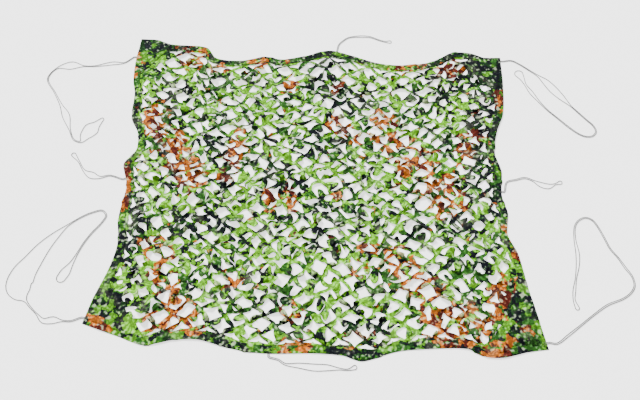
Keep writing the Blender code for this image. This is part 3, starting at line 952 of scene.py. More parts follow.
# Columns: x and y in pixels of the picture, radius in metres, how much smaller the cuts are.
TIGHT_SPOTS = (
    (182, 150, 0.14, 0.32), (185, 224, 0.16, 0.32), (225, 75, 0.12, 0.18),
    (262, 108, 0.11, 0.22), (478, 120, 0.16, 0.18), (478, 215, 0.13, 0.20),
    (140, 275, 0.14, 0.24), (393, 322, 0.10, 0.14), (436, 255, 0.10, 0.18),
    (218, 165, 0.11, 0.14), (348, 110, 0.09, 0.14), (430, 175, 0.10, 0.12),
    (452, 84, 0.14, 0.14), (440, 330, 0.09, 0.10),
)
LEAF_WIDTH = 0.9            # of the root, where the leaf is widest
LEAF_TIP = 0.93             # below 1 the leaf ends in a blunt tip
LEAF_SHOULDER = 2.4         # higher, and the leaf keeps its width for longer
LEAF_ROUND = 0.7            # lower, and the tip is rounder
LEAF_SLANT = 0.35           # the tip leans aside by up to this share of the length
ROOT_FADE = 0.75            # how much of the root's own shape is gone at the tip


def opening_size(place):
    """Openings are widest in the middle, closer near the ends and where cloth is bunched."""
    size = END_SIZE + MIDDLE_SIZE * smooth_step((MIDDLE_HALF - abs(place.x - MIDDLE_AT)) / MIDDLE_FADE)
    for x, y, radius, squeeze in TIGHT_SPOTS:
        size -= squeeze * math.exp(-((place - floor_point(x, y)).length / radius) ** 2)
    return size


print("size of the openings in the middle:", round(opening_size(Vector((0, 0))), 2))

# %% [markdown]
# A cloth plan collects the points and faces of one sheet, with what each point notes. A
# point with a key, such as a node that four cells share, is made only once. A tongue is
# laid out flat in the plan: rows of points that start at its root and close in to a tip.

# %% Cloth plan and tongues
class ClothPlan:
    """Points of one sheet of cloth with what each of them notes."""

    def __init__(self):
        self.places, self.faces, self.keys = [], [], {}
        self.run, self.way, self.bend, self.radius, self.edge = [], [], [], [], []

    def point(self, place, key=None, edge=0.0, run=0.0, way=(0, 0), bend=0.0, radius=0.01):
        """Number of a point; a key already used gives the point that has it."""
        if key is not None and key in self.keys:
            return self.keys[key]
        self.places.append((place.x, place.y))
        self.run.append(run)
        self.way.append((way[0], way[1], 0.0))
        self.bend.append(bend)
        self.radius.append(radius)
        self.edge.append(edge)
        if key is not None:
            self.keys[key] = len(self.places) - 1
        return len(self.places) - 1

    def band(self, one, other, closed=False):
        """Quads between two rows of points of the same count."""
        pairs = list(range(len(one))) + ([0] if closed else [])
        for a, b in zip(pairs, pairs[1:]):
            self.faces.append((one[a], one[b], other[b], other[a]))


def choose_tongue(chance):
    """One kind of tongue, drawn by the shares of the kinds."""
    draw = chance.random()
    for share, *row in TONGUE_KINDS:
        if draw < share:
            return row
        draw -= share
    return TONGUE_KINDS[0][1:]


def add_tongue(plan, ring, places, first, chance, size=1.0, rows=TONGUE_ROWS):
    """A leaf of cloth that grows from part of an opening's edge."""
    least, most, tight, wide, short, long = choose_tongue(chance)
    bend = math.radians(chance.uniform(least, most))
    radius = chance.uniform(tight, wide)
    length = TONGUE_LENGTH * chance.uniform(short, long) * size
    base = [(first + part) % ROUND for part in range(TONGUE_PARTS + 1)]
    roots = [places[index] for index in base]
    middle = (roots[0] + roots[-1]) / 2
    along = (roots[-1] - roots[0]).normalized()
    way = Vector((-along.y, along.x))
    slant = chance.uniform(-LEAF_SLANT, LEAF_SLANT)
    before = [ring[index] for index in base]
    for row in range(1, rows + 1):
        share = row / rows
        width = LEAF_WIDTH * max(1 - (share * LEAF_TIP) ** LEAF_SHOULDER, 0.0) ** LEAF_ROUND
        now = []
        for root in roots:
            lateral = (root - middle).dot(along)
            depth = (root - middle).dot(way)
            leaning = along * slant * length * share * share
            place = middle + along * lateral * width + leaning + way * (
                depth * (1 - share * ROOT_FADE) + length * share)
            run = (place - root).dot(way)
            now.append(plan.point(place, run=max(run, 0.0), way=way, bend=bend, radius=radius,
                                  edge=1.0))
        plan.band(before, now)
        before = now


print("kinds of tongue:", len(TONGUE_KINDS), "of", (TONGUE_PARTS + 1) * TONGUE_ROWS, "points")

# %% [markdown]
# Each cell of the lattice gets its opening: two rings of points inside its border, pushed
# out of round and turned a little by chance. Under and beside the patches it stays whole.

# %% Cut field
def add_cell(plan, half, row, chance):
    """One diamond cell with its opening, and a tongue where the cell is whole."""
    border = cell_border(half, row)
    rim = [plan.point(place, key) for key, place in border]
    centre = heart_of(border)
    size = opening_size(centre) * chance.uniform(*OPENING_SIZES)
    oval, three = chance.uniform(0, math.tau), chance.uniform(0, math.tau)
    slew = math.radians(chance.uniform(-1, 1) * OPENING_SLEW)
    places = []
    for index, (_, place) in enumerate(border):
        out = place - centre
        angle = math.atan2(out.y, out.x)
        share = OPENING_SHARES[index % STRIP_PARTS] * size
        share *= (1 + OVAL * math.sin(2 * angle + oval)
                  + THREE_SIDED * math.sin(3 * angle + three))
        share = min(share, 1 - NARROWEST_STRIP / out.length)
        turned = Vector((out.x * math.cos(slew) - out.y * math.sin(slew),
                         out.x * math.sin(slew) + out.y * math.cos(slew)))
        places.append(centre + turned * share)
    middles = [(place + inner) / 2 for (_, place), inner in zip(border, places)]
    halfway = [plan.point(place, edge=HALFWAY_LIFT) for place in middles]
    ring = [plan.point(place, edge=1.0) for place in places]
    plan.band(rim, halfway, closed=True)
    plan.band(halfway, ring, closed=True)
    if 0 < half < HALVES and 0 < row < ROWS:
        side = 2 * chance.randrange(2) + row % 2
        first = side * STRIP_PARTS + chance.randrange(2)
        add_tongue(plan, ring, places, first, chance)
        if chance.random() < SMALL_TONGUE_SHARE:
            add_tongue(plan, ring, places, first + ROUND // 2, chance, SMALL_TONGUE,
                       SMALL_TONGUE_ROWS)


def heart_of(border):
    """Middle of a cell, from its corners."""
    corners = {key: place for key, place in border[::STRIP_PARTS]}
    return sum(corners.values(), Vector((0, 0))) / len(corners)


def add_whole_cell(plan, half, row):
    """A cell that isn't cut."""
    border = cell_border(half, row)
    centre = heart_of(border)
    rim = [plan.point(place, key) for key, place in border]
    heart = plan.point(centre)
    halfway = [plan.point((place + centre) / 2) for _, place in border]
    plan.band(rim, halfway, closed=True)
    for one, other in zip(halfway, halfway[1:] + halfway[:1]):
        plan.faces.append((one, other, heart))


def cut_net():
    """The whole cut field: a cut in each cell, except under and beside the patches."""
    plan = ClothPlan()
    chance = random.Random(CUT_SEED + 1)
    cuts = 0
    for half, row in cells:
        if beyond_patch(node_place(half, row)) < UNCUT_BESIDE_PATCH:
            add_whole_cell(plan, half, row)
        else:
            add_cell(plan, half, row, chance)
            cuts += 1
    print(cuts, "cuts,", len(plan.places), "points")
    return plan


net_plan = cut_net()

# %% [markdown]
# Outside the field the net has a plain margin, which the binding holds. Its points follow
# the rails, so that it joins the field point by point.

# %% Margin of the net
NET_INSET = CLOTH + CLEARANCE
MARGIN_INSETS = (0.030, 0.016, NET_INSET)


def margin_nodes(side):
    """Field nodes along one side, in the side's own direction."""
    across, up = range(HALVES + 1), range(ROWS + 1)
    return {"far": [(half, ROWS) for half in across],
            "right": [(HALVES, row) for row in reversed(up)],
            "near": [(half, 0) for half in reversed(across)],
            "left": [(0, row) for row in up]}[side]


def add_margin(plan):
    """The plain margin round the field, joined to it point by point."""
    for side in SIDES:
        nodes = margin_nodes(side)
        line = []
        for one, other in zip(nodes, nodes[1:]):
            line += strip_points(one, other)
        line.append((("node",) + nodes[-1], node_place(*nodes[-1])))
        rows = []
        for number, (key, place) in enumerate(line):
            station = rail_place(side, number / (len(line) - 1))
            corner = {0: SIDES[side][0], len(line) - 1: SIDES[side][1]}.get(number)
            column = [plan.point(place, key)]
            for inset in MARGIN_INSETS:
                column.append(plan.point(on_rail(side, station, inset),
                                         ("margin", corner or (side, number), inset)))
            rows.append(column)
        for one, other in zip(rows, rows[1:]):
            plan.band(other, one)


add_margin(net_plan)
print("with its margin:", len(net_plan.places), "points,", len(net_plan.faces), "faces")

# %% [markdown]
# ## Colours of the print
# The cloth is a common woodland print: bright and mid green ground, with charcoal and rust
# brown blots. Where a blot lies is chosen from short tables of strokes given as places in the
# picture. A point of cloth notes how near it is to a stroke of each colour.
# The print itself is drawn later in the material, which gives the blots their torn edges.

# %% Strokes of the print
# Columns: start x, start y, end x, end y, half width, all in pixels of the picture.
RUST_STROKES = (
    (137, 56, 136, 70, 5), (189, 60, 197, 58, 8), (212, 70, 222, 70, 4), (257, 57, 259, 64, 6),
    (284, 88, 296, 86, 4), (335, 90, 344, 80, 3), (404, 67, 416, 67, 7), (442, 73, 455, 71, 7),
    (500, 94, 500, 106, 5), (157, 118, 172, 146, 11), (172, 146, 190, 180, 13),
    (226, 176, 240, 138, 7), (333, 121, 353, 139, 7), (384, 130, 413, 163, 12),
    (413, 163, 448, 200, 15), (463, 158, 471, 140, 8), (289, 184, 293, 206, 4),
    (293, 210, 268, 197, 5), (336, 194, 345, 192, 6), (124, 190, 122, 204, 5),
    (510, 228, 519, 253, 6), (155, 250, 170, 290, 11), (170, 290, 192, 324, 10),
    (127, 166, 125, 200, 4), (153, 320, 178, 326, 8),
    (229, 281, 238, 279, 7), (288, 311, 299, 309, 8), (96, 322, 104, 331, 7),
    (280, 347, 306, 346, 5), (352, 341, 364, 339, 7), (358, 266, 371, 248, 8),
    (398, 264, 427, 293, 13), (427, 293, 473, 330, 14), (493, 312, 505, 281, 8),
    (428, 318, 452, 344, 8),
    (486, 351, 501, 349, 6), (514, 335, 522, 331, 7),
)
DARK_STROKES = (
    (145, 43, 186, 50, 6), (172, 94, 182, 92, 7), (325, 61, 335, 59, 7), (320, 84, 357, 108, 9),
    (450, 62, 494, 78, 15), (428, 98, 453, 84, 9), (484, 84, 488, 116, 8),
    (472, 118, 486, 190, 7), (132, 96, 131, 124, 5), (136, 196, 132, 236, 6), (322, 138, 339, 136, 8),
    (272, 171, 282, 169, 7),
    (293, 188, 301, 186, 6), (213, 137, 230, 163, 6), (230, 163, 227, 183, 6),
    (448, 148, 458, 146, 7), (489, 122, 505, 166, 6), (463, 178, 471, 176, 7),
    (496, 194, 504, 192, 7), (170, 222, 223, 224, 8), (452, 226, 462, 224, 7),
    (409, 234, 417, 232, 6), (120, 154, 121, 168, 6), (119, 240, 121, 254, 5),
    (97, 302, 119, 306, 8), (322, 210, 332, 251, 9), (476, 261, 484, 259, 7),
    (216, 324, 224, 322, 7), (266, 311, 274, 309, 7), (289, 324, 297, 322, 7),
    (354, 325, 377, 321, 9), (509, 300, 518, 324, 6), (205, 341, 222, 339, 5),
    # The five strokes three pixels wide at the end of this table run along the soft folds and a fold
    # in the near right corner: their charcoal is painted shade of the folds. The rest of the table is
    # print.
    (360, 361, 376, 359, 5), (446, 347, 461, 346, 5), (135, 228, 135, 268, 3),
    (156, 125, 162, 151, 3), (162, 151, 182, 186, 3), (467, 248, 491, 270, 3),
    (503, 294, 515, 321, 3),
)
BRIGHT_STROKES = (
    (152, 60, 163, 62, 9), (138, 101, 150, 112, 9), (196, 113, 205, 112, 8), (252, 94, 262, 92, 8),
    (267, 128, 280, 146, 9), (368, 64, 379, 62, 8), (368, 90, 400, 89, 8), (459, 98, 444, 119, 9),
    (460, 126, 482, 132, 9), (322, 178, 332, 176, 8), (383, 171, 371, 192, 9),
    (372, 195, 399, 212, 9), (151, 161, 159, 192, 9), (175, 204, 185, 202, 8),
    (174, 248, 200, 238, 9), (244, 204, 259, 226, 10), (289, 251, 268, 272, 10),
    (355, 231, 365, 229, 8), (337, 261, 340, 306, 10), (339, 308, 328, 339, 9),
    (475, 228, 485, 226, 8), (428, 266, 440, 248, 9), (506, 268, 514, 266, 7),
    (114, 268, 139, 292, 10), (139, 294, 124, 326, 10), (393, 308, 388, 339, 10),
    (256, 328, 238, 339, 9), (535, 334, 545, 332, 8),
)
STROKE_FADE = 0.9           # a stroke's mark fades out over this many half widths


def picture_places(places):
    """Pixels at which plan points show in the picture, as two columns."""
    rise, lean = math.sin(CAMERA_RISE), math.cos(CAMERA_RISE)
    aside = places[:, 0] - CAMERA_PLACE.x
    ahead = places[:, 1] - CAMERA_PLACE.y
    depth = ahead * lean + CAMERA_PLACE.z * rise
    above = ahead * rise - CAMERA_PLACE.z * lean
    return np.column_stack((PICTURE_MIDDLE[0] + PICTURE_REACH * aside / depth,
                            PICTURE_MIDDLE[1] - PICTURE_REACH * above / depth))


def stroke_marks(pixels, strokes):
    """How strongly each point is marked by a table of strokes, 0 to 1."""
    marks = np.zeros(len(pixels))
    for start_x, start_y, end_x, end_y, half_width in strokes:
        start = np.array((start_x, start_y), float)
        run = np.array((end_x, end_y), float) - start
        share = np.clip((pixels - start) @ run / max(run @ run, 1e-9), 0, 1)
        away = np.linalg.norm(pixels - start - share[:, None] * run, axis=1) / half_width
        marks = np.maximum(marks, np.clip(1 + (1 - away) / STROKE_FADE, 0, 1))
    return marks


PRINT_COLOURS = {"rust": RUST_STROKES, "dark": DARK_STROKES, "bright": BRIGHT_STROKES}


def note_value(mesh, name, values):
    """Write one number or vector for each point of a mesh."""
    values = np.asarray(values, float)
    kind, field = ("FLOAT_VECTOR", "vector") if values.ndim == 2 else ("FLOAT", "value")
    mesh.attributes.new(name, kind, "POINT").data.foreach_set(field, values.ravel())


def note_print(mesh, places, darker=0.0):
    """Write the marks of each colour, and the flat place of each point, on a mesh."""
    pixels = picture_places(np.asarray(places, float))
    for colour, strokes in PRINT_COLOURS.items():
        marks = stroke_marks(pixels, strokes)
        note_value(mesh, colour, marks + darker if colour == "dark" else marks)
    note_value(mesh, "flat", [(x, y, 0.0) for x, y in places])


def lay_uv(mesh):
    """UV map in metres of flat cloth, from the noted flat places."""
    flat = np.zeros(len(mesh.vertices) * 3)
    mesh.attributes["flat"].data.foreach_get("vector", flat)
    flat = flat.reshape(-1, 3)[:, :2]
    corners = np.zeros(len(mesh.loops), int)
    mesh.loops.foreach_get("vertex_index", corners)
    layer = mesh.uv_layers.new(name="cloth")
    layer.uv.foreach_set("vector", flat[corners].ravel())


def plan_object(name, places, faces, heights=None):
    """A smooth mesh object from plan points, with a height for each or all flat."""
    mesh = bpy.data.meshes.new(name)
    heights = heights or [0.0] * len(places)
    mesh.from_pydata([(x, y, z) for (x, y), z in zip(places, heights)], [], faces,
                     shade_flat=False)
    mesh.update()
    return new_object(name, mesh)


print("strokes:", {colour: len(strokes) for colour, strokes in PRINT_COLOURS.items()})

# %% [markdown]
# ## Raising the cloth
# Bending hundreds of tongues by hand isn't practical, and a cloth simulation would give
# the same look each time only after minutes of work. Each point has already noted its run
# along the tongue, the way it points, and its bend and radius, so one Geometry Nodes tree
# can roll every tongue round its own root. The same tree adds the folds and swells, lifts
# the edges of the strips, crumples the cloth at two scales and keeps all of it on the floor.

# %% Tree that raises the cloth
CURL_SIZE = 0.03            # size of the areas in which tongues bend alike
CURL_UNEVEN = 0.18          # how much their bend differs
CURL_MOST = 1.12            # of its own bend, the most a tongue takes
EDGE_SIZE = 0.036           # size of the waves along the strips' edges
MOSTLY_UP = 0.35            # crumples and edges rise more than they sink
SWAY = 0.026                # how far the strips wind aside
SWAY_SIZE = 0.05            # size of those windings


def named(tree, name, kind="FLOAT"):
    """What each point has noted under a name."""
    return add(tree, "GeometryNodeInputNamedAttribute", data_type=kind, inputs={"Name": name})[0]


def cloud(tree, place, size, detail, seed):
    """Noise between -1 and 1, mostly, at a size in metres."""
    moved = vector_calc(tree, "ADD", place, seed)
    value = noise_at(tree, moved, scale_for(tree, size), detail)[0]
    return calc(tree, "MULTIPLY", calc(tree, "SUBTRACT", value, 0.5), 4.0)


def roll_up(tree, run, bend, radius):
    """Where a point at a run along its tongue ends up when it bends: (forwards, up)."""
    arc = calc(tree, "MINIMUM", run, calc(tree, "MULTIPLY", radius, bend))
    rest = calc(tree, "SUBTRACT", run, arc)
    turned = calc(tree, "DIVIDE", arc, radius)
    sine, cosine = calc(tree, "SINE", turned), calc(tree, "COSINE", turned)
    forwards = calc(tree, "ADD", calc(tree, "MULTIPLY", radius, sine),
                    calc(tree, "MULTIPLY", rest, cosine))
    up = calc(tree, "ADD",
              calc(tree, "MULTIPLY", radius, calc(tree, "SUBTRACT", 1.0, cosine)),
              calc(tree, "MULTIPLY", rest, sine))
    return forwards, up


def make_cloth_tree():
    tree, given, result = new_tree(
        "raise_cloth", "GeometryNodeTree",
        [("Cloth", "shape", None), ("Edge Lift", "value", 0.010), ("Crumple", "value", 0.006),
         ("Crumple Size", "value", 0.055), ("Creases", "value", 0.0018),
         ("Crease Size", "value", 0.018), ("Lowest", "value", 0.0006), ("Highest", "value", 0.024),
         ("Seed", "vector", (1.0, 2.0, 3.0)), ("Material", "material", None)],
        [("Cloth", "shape")])
    flat = add(tree, "GeometryNodeInputPosition")[0]
    run, loose = named(tree, "run"), named(tree, "loose")
    curl = calc(tree, "ADD", 1.0, calc(tree, "MULTIPLY", cloud(
        tree, flat, CURL_SIZE, 1.0, (9.0, 4.0, 1.0)), CURL_UNEVEN))
    bend = calc(tree, "MULTIPLY", named(tree, "bend"), calc(tree, "MINIMUM", curl, CURL_MOST))
    forwards, up = roll_up(tree, run, bend, named(tree, "radius"))
    slide = vector_calc(tree, "SCALE", named(tree, "way", "FLOAT_VECTOR"),
                        calc(tree, "SUBTRACT", forwards, run))
    seeded = vector_calc(tree, "ADD", flat, given["Seed"])
    billow = cloud(tree, seeded, given["Crumple Size"], 2.0, (0.0, 0.0, 0.0))
    crease = cloud(tree, seeded, given["Crease Size"], 1.0, (5.0, 0.0, 0.0))
    edge = calc(tree, "MULTIPLY", named(tree, "edge"), calc(tree, "ADD", MOSTLY_UP, cloud(
        tree, seeded, EDGE_SIZE, 1.0, (0.0, 7.0, 0.0))))
    height = calc(tree, "MULTIPLY", calc(tree, "ADD", MOSTLY_UP, billow), given["Crumple"])
    for wave, size in ((crease, "Creases"), (edge, "Edge Lift")):
        height = calc(tree, "ADD", height, calc(tree, "MULTIPLY", wave, given[size]))
    height = calc(tree, "MULTIPLY", height, loose)
    height = calc(tree, "ADD", calc(tree, "ADD", height, named(tree, "rise")), up)
    height = calc(tree, "MAXIMUM", height, given["Lowest"])
    height = calc(tree, "MINIMUM", height, given["Highest"])
    winding = noise_at(tree, seeded, 1 / SWAY_SIZE, detail=1.0)[1]
    sway = vector_calc(tree, "SUBTRACT", winding, (0.5, 0.5, 0.5))
    sway = vector_calc(tree, "MULTIPLY", sway, (1.0, 1.0, 0.0))
    sway = vector_calc(tree, "SCALE", sway, calc(tree, "MULTIPLY", loose, SWAY))
    shift = vector_calc(tree, "ADD", slide, sway)
    shift = vector_calc(tree, "ADD", shift, upwards(tree, height))
    raised = move_points(tree, given["Cloth"], shift)
    finish_tree(tree, raised, given["Material"], result["Cloth"])
    return tree


CLOTH_TREE = make_cloth_tree()
print("cloth tree:", len(CLOTH_TREE.nodes), "nodes")

# %% [markdown]
# ## The woodland print
# The print is a node group, so that net, binding and patches share it. It reads the flat
# cloth, not the bent one, which keeps a blot whole across a curled tongue. The place is
# first pushed about by noise. Then clouds, each pushed by the marks noted before, are cut
# off sharply into blots: bright or mid green ground, charcoal with some deep green in it,
# and rust that turns to brown in places.

# %% Woodland print
PRINT_SHADES = (
    ("Bright Green", (0.17, 0.52, 0.014, 1)),
    ("Mid Green", (0.026, 0.115, 0.014, 1)),
    ("Deep Green", (0.010, 0.040, 0.010, 1)),
    ("Charcoal", (0.006, 0.008, 0.012, 1)),
    ("Rust", (0.50, 0.13, 0.012, 1)),
    ("Brown", (0.10, 0.016, 0.010, 1)),
)
PUSH_SCALE = 55.0           # how fine the noise is that pushes the place about
PUSH = 0.035                # how far it pushes
BLOT_EDGE = 0.006           # softness of a blot's edge, to either side


def make_print_group():
    tree, given, result = new_tree(
        "woodland_print", "ShaderNodeTree",
        [("Vector", "vector", None), ("Blot Size", "value", 0.07), ("Rust Mark", "value", 0.0),
         ("Dark Mark", "value", 0.0), ("Bright Mark", "value", 0.0)]
        + [(label, "colour", shade) for label, shade in PRINT_SHADES],
        [("Colour", "colour")])
    push = noise_at(tree, given["Vector"], PUSH_SCALE, detail=3.0)[1]
    centred = vector_calc(tree, "SUBTRACT", push, (0.5, 0.5, 0.5))
    place = vector_calc(tree, "ADD", given["Vector"], vector_calc(tree, "SCALE", centred, PUSH))
    scale = scale_for(tree, given["Blot Size"])

    def blots(label, seed, stretch, threshold, pull):
        moved = vector_calc(tree, "ADD", vector_calc(tree, "MULTIPLY", place, stretch), seed)
        value = noise_at(tree, moved, scale, detail=2.0)[0]
        value = calc(tree, "ADD", value, calc(tree, "MULTIPLY", given[label], pull))
        return to_range(tree, value, threshold - BLOT_EDGE, threshold + BLOT_EDGE)

    bright = blots("Bright Mark", (0, 0, 2.0), (1.0, 1.3, 1), 0.51, 0.16)
    dark = blots("Dark Mark", (3.0, 0, 5.0), (1.6, 2.2, 1), 0.555, 0.13)
    rust = blots("Rust Mark", (0, 7.0, 9.0), (1.3, 1.7, 1), 0.695, 0.245)
    brown = blots("Dark Mark", (2.0, 3.0, 7.0), (2.0, 2.0, 1), 0.53, 0.12)
    shadow = blots("Dark Mark", (5.0, 2.0, 1.0), (2.6, 3.4, 1), 0.575, 0.02)
    ground = mix_colours(tree, bright, given["Mid Green"], given["Bright Green"])
    gloom = mix_colours(tree, shadow, given["Charcoal"], given["Deep Green"])
    printed = mix_colours(tree, dark, ground, gloom)
    earth = mix_colours(tree, brown, given["Rust"], given["Brown"])
    feed(tree, result["Colour"], mix_colours(tree, rust, printed, earth))
    return tree


PRINT = make_print_group()
print("print group:", len(PRINT.nodes), "nodes")

# %% [markdown]
# ## The weave
# The cloth is a thin plain-woven polyester. Two waves at right angles give the height of
# the crossing threads, and the same waves paint the gaps between threads a little darker, as
# painted shade.

# %% Weave
def make_weave_group():
    tree, given, result = new_tree(
        "plain_weave", "ShaderNodeTree",
        [("Vector", "vector", None), ("Thread", "value", 0.0006)],
        [("Height", "value"), ("Shade", "value")])
    turns = calc(tree, "DIVIDE", math.pi, given["Thread"])
    x, y, _ = add(tree, "ShaderNodeSeparateXYZ", given["Vector"])
    warp = calc(tree, "SINE", calc(tree, "MULTIPLY", x, turns))
    weft = calc(tree, "SINE", calc(tree, "MULTIPLY", y, turns))
    crossing = calc(tree, "MULTIPLY", warp, weft)
    feed(tree, result["Height"], to_range(tree, crossing, -1.0, 1.0, easing="LINEAR"))
    # Painted shade: the gaps between threads are darker.
    threads = calc(tree, "MAXIMUM", calc(tree, "ABSOLUTE", warp), calc(tree, "ABSOLUTE", weft))
    feed(tree, result["Shade"], to_range(tree, threads, 0.0, 0.5, 0.80, 1.0, easing="LINEAR"))
    return tree


WEAVE = make_weave_group()
print("weave group:", len(WEAVE.nodes), "nodes")

# %% [markdown]
# ## Shade in the creases
# Cut cloth never lies smooth: each strip is pinched and rolled a little. The larger rolls
# are modelled. The finest pinches are only a thread deep, so they are given as shade: thin
# winding lines where a noise crosses its middle value, darker than the cloth beside them.

# %% Crease shade
CREST_SHADE = 1.30          # cloth between creases catches more light than the average


def make_crease_group():
    tree, given, result = new_tree(
        "crease_shade", "ShaderNodeTree",
        [("Vector", "vector", None), ("Size", "value", 0.026), ("Depth", "value", 0.85)],
        [("Shade", "value"), ("Crest", "value")])
    rolls = noise_at(tree, given["Vector"], scale_for(tree, given["Size"]), detail=1.5)[0]
    away = calc(tree, "ABSOLUTE", calc(tree, "SUBTRACT", rolls, 0.5))
    open_cloth = to_range(tree, away, 0.0, 0.13)
    # The crest mask places a painted highlight in the cloth materials.
    feed(tree, result["Crest"], to_range(tree, away, 0.11, 0.20))
    feed(tree, result["Shade"],
         calc(tree, "SUBTRACT", CREST_SHADE,
              calc(tree, "MULTIPLY", given["Depth"], calc(tree, "SUBTRACT", 1.0, open_cloth))))
    return tree


CREASES = make_crease_group()
print("crease group:", len(CREASES.nodes), "nodes")

# %% [markdown]
# The printed face and the reverse use the same groups. On the crests between creases the
# colour is mixed towards a pale green, a painted highlight. The tape of the binding and the
# patches is double cloth, so its bright green is painted darker, as painted shade for the
# light that single cloth lets through, and its print is a little larger. On the reverse the
# ink has only partly soaked through, so its colours are mixed towards the pale green of the
# dyed yarn; that paleness is also painted light, for light shining through the thin cloth.

# %% Cloth materials
# Pale green of the reverse: partly the dyed yarn's own colour, partly painted light for light shining
# through the thin cloth.
YARN_PALE_AND_BACKLIT = (0.42, 0.55, 0.26, 1)
SUN_FADED = (0.42, 0.46, 0.30, 1)
FLOOR_DUST = (0.55, 0.54, 0.50, 1)
# Painted highlight: the crests between creases are mixed towards this pale green.
CREST_HIGHLIGHT_COLOUR = (0.66, 0.80, 0.50, 1)
CREST_HIGHLIGHT_SHARE = 0.45               # how strongly the painted highlight pales the crests
TAPE_SHADED_GREEN = (0.095, 0.31, 0.012, 1)    # painted shade: darker, as double cloth lets no light through


def attribute_of(tree, name):
    """A mark that the cloth's points have noted."""
    return add(tree, "ShaderNodeAttribute", attribute_name=name)["Fac"]


def make_cloth_material(name, soaked, blot=0.07, brightest=None):
    """Printed cloth; soaked is how much of the ink shows, blot how large the print is."""
    made, tree, shader = new_material(name, roughness=0.88, specular=0.06)
    shader.inputs["Sheen Weight"].default_value = 0.015
    shader.inputs["Sheen Roughness"].default_value = 0.5
    place = add(tree, "ShaderNodeUVMap", uv_map="cloth")[0]
    inked = put_group(tree, PRINT, Vector=place, Blot_Size=blot, Bright_Green=brightest,
                      Rust_Mark=attribute_of(tree, "rust"),
                      Dark_Mark=attribute_of(tree, "dark"),
                      Bright_Mark=attribute_of(tree, "bright"))
    weave = put_group(tree, WEAVE, Vector=place)
    fibre = put_group(tree, FIBRE, Vector=place, Size=0.0016)
    creases = put_group(tree, CREASES, Vector=place)
    wear = put_group(tree, WEAR, Vector=place, Patch_Size=0.09, Amount=0.16)
    colour = inked["Colour"]
    for share, tint in ((1 - soaked, YARN_PALE_AND_BACKLIT), (wear["Fade"], SUN_FADED),
                        (wear["Dust"], FLOOR_DUST)):
        colour = mix_colours(tree, share, colour, tint)
    # Painted shade from the weave and the creases, multiplied in with the fibre's uneven tone.
    for shade in (weave["Shade"], fibre["Tone"], creases["Shade"]):
        colour = mix_colours(tree, 1.0, colour, shade, kind="MULTIPLY")
    # Painted highlight on the crests between creases.
    crest_highlight = calc(tree, "MULTIPLY", creases["Crest"], CREST_HIGHLIGHT_SHARE)
    feed(tree, shader.inputs["Base Color"], mix_colours(tree, crest_highlight, colour, CREST_HIGHLIGHT_COLOUR))
    add_relief(tree, shader, weave["Height"], distance=0.00025, strength=0.6)
    return made


PRINTED_FACE = make_cloth_material("printed_cloth", 1.0)
# The tape's darker bright green is painted shade.
PRINTED_TAPE = make_cloth_material("printed_tape", 1.0, blot=0.085, brightest=TAPE_SHADED_GREEN)
PRINTED_REVERSE = make_cloth_material("printed_cloth_reverse", 0.40)
print("cloth materials:", PRINTED_FACE.name, PRINTED_TAPE.name, PRINTED_REVERSE.name)

# %% [markdown]
# ## The net
# Now the plan becomes the net. Its points get their notes, the tree raises them, and a
# Solidify modifier gives the cloth its thickness, with the reverse as a second material.
# The binding and the patches are finished in the same way.

# %% Net
NET_THICKNESS = 0.0005
FLAT_MARGIN = 0.035         # the cloth is free this far inside the cut field's edge
PLAN_NOTES = ("run", "way", "bend", "radius", "edge")


def looseness(places):
    """0 where the binding or a patch holds the cloth, 1 where it is free."""
    margin = np.array([(point.x, point.y) for side in SIDES for point in rail(side, FIELD_LINE)[::3]])
    loose = []
    for place in places:
        away = np.sqrt(((margin - place) ** 2).sum(axis=1).min())
        held = min(away, max(beyond_patch(Vector(place)), 0.0)) / FLAT_MARGIN
        loose.append(smooth_step(held))
    return loose


def thicken(piece, thickness, materials, offset):
    """Thickness below the seen face, as a plain closed mesh with a reverse and a rim."""
    present = [material.name for material in piece.data.materials]
    for material in materials:
        if material.name not in present:
            piece.data.materials.append(material)
    modifier = piece.modifiers.new("thickness", "SOLIDIFY")
    modifier.thickness = thickness
    modifier.offset = offset
    modifier.use_even_offset = False
    modifier.material_offset = len(materials) - 1
    modifier.material_offset_rim = len(materials) - 1
    mesh = plain_mesh(piece)
    piece.modifiers.clear()
    piece.data = mesh


def finish_cloth(piece, node, thickness, face, offset=-1.0):
    """Thickness, reverse and UV map of a sheet; its solid is hidden and it joins the root body."""
    thicken(piece, thickness, [face, PRINTED_REVERSE], offset)
    face_out(piece)
    lay_uv(piece.data)
    for name in PLAN_NOTES + ("rise", "loose", "flat"):      # no material reads these
        if name in piece.data.attributes:
            piece.data.attributes.remove(piece.data.attributes[name])
    stands_for(piece, node)


def make_net():
    """The cut net, and the area of its cloth."""
    places = net_plan.places
    net = plan_object("cut_net", places, net_plan.faces)
    for name in PLAN_NOTES:
        note_value(net.data, name, getattr(net_plan, name))
    loose = looseness(places)
    rise = []
    for place, free in zip(places, loose):
        point = Vector(place)
        rise.append(NET_LIFT * (1 - free) + fold_height(point) * free + lift(point))
    note_value(net.data, "loose", loose)
    note_value(net.data, "rise", rise)
    note_print(net.data, places)
    net = run_tree(net, CLOTH_TREE, Material=PRINTED_FACE)
    area = sum(face.area for face in net.data.polygons)
    finish_cloth(net, "net_panel", NET_THICKNESS, PRINTED_FACE)
    return net, area


net, net_area = make_net()
print("net:", triangles(net), "triangles,", round(net_area, 3), "square metres of cloth")

# %% [markdown]
# ## The binding
# A strip of the same cloth is folded over each edge, over net and patch, and sewn through.
# The solid gives it a square fold. Here the fold is round, its upper leg sinks where the
# stitches pull it down, and small puckers run across it, as they do in a gathered hem.

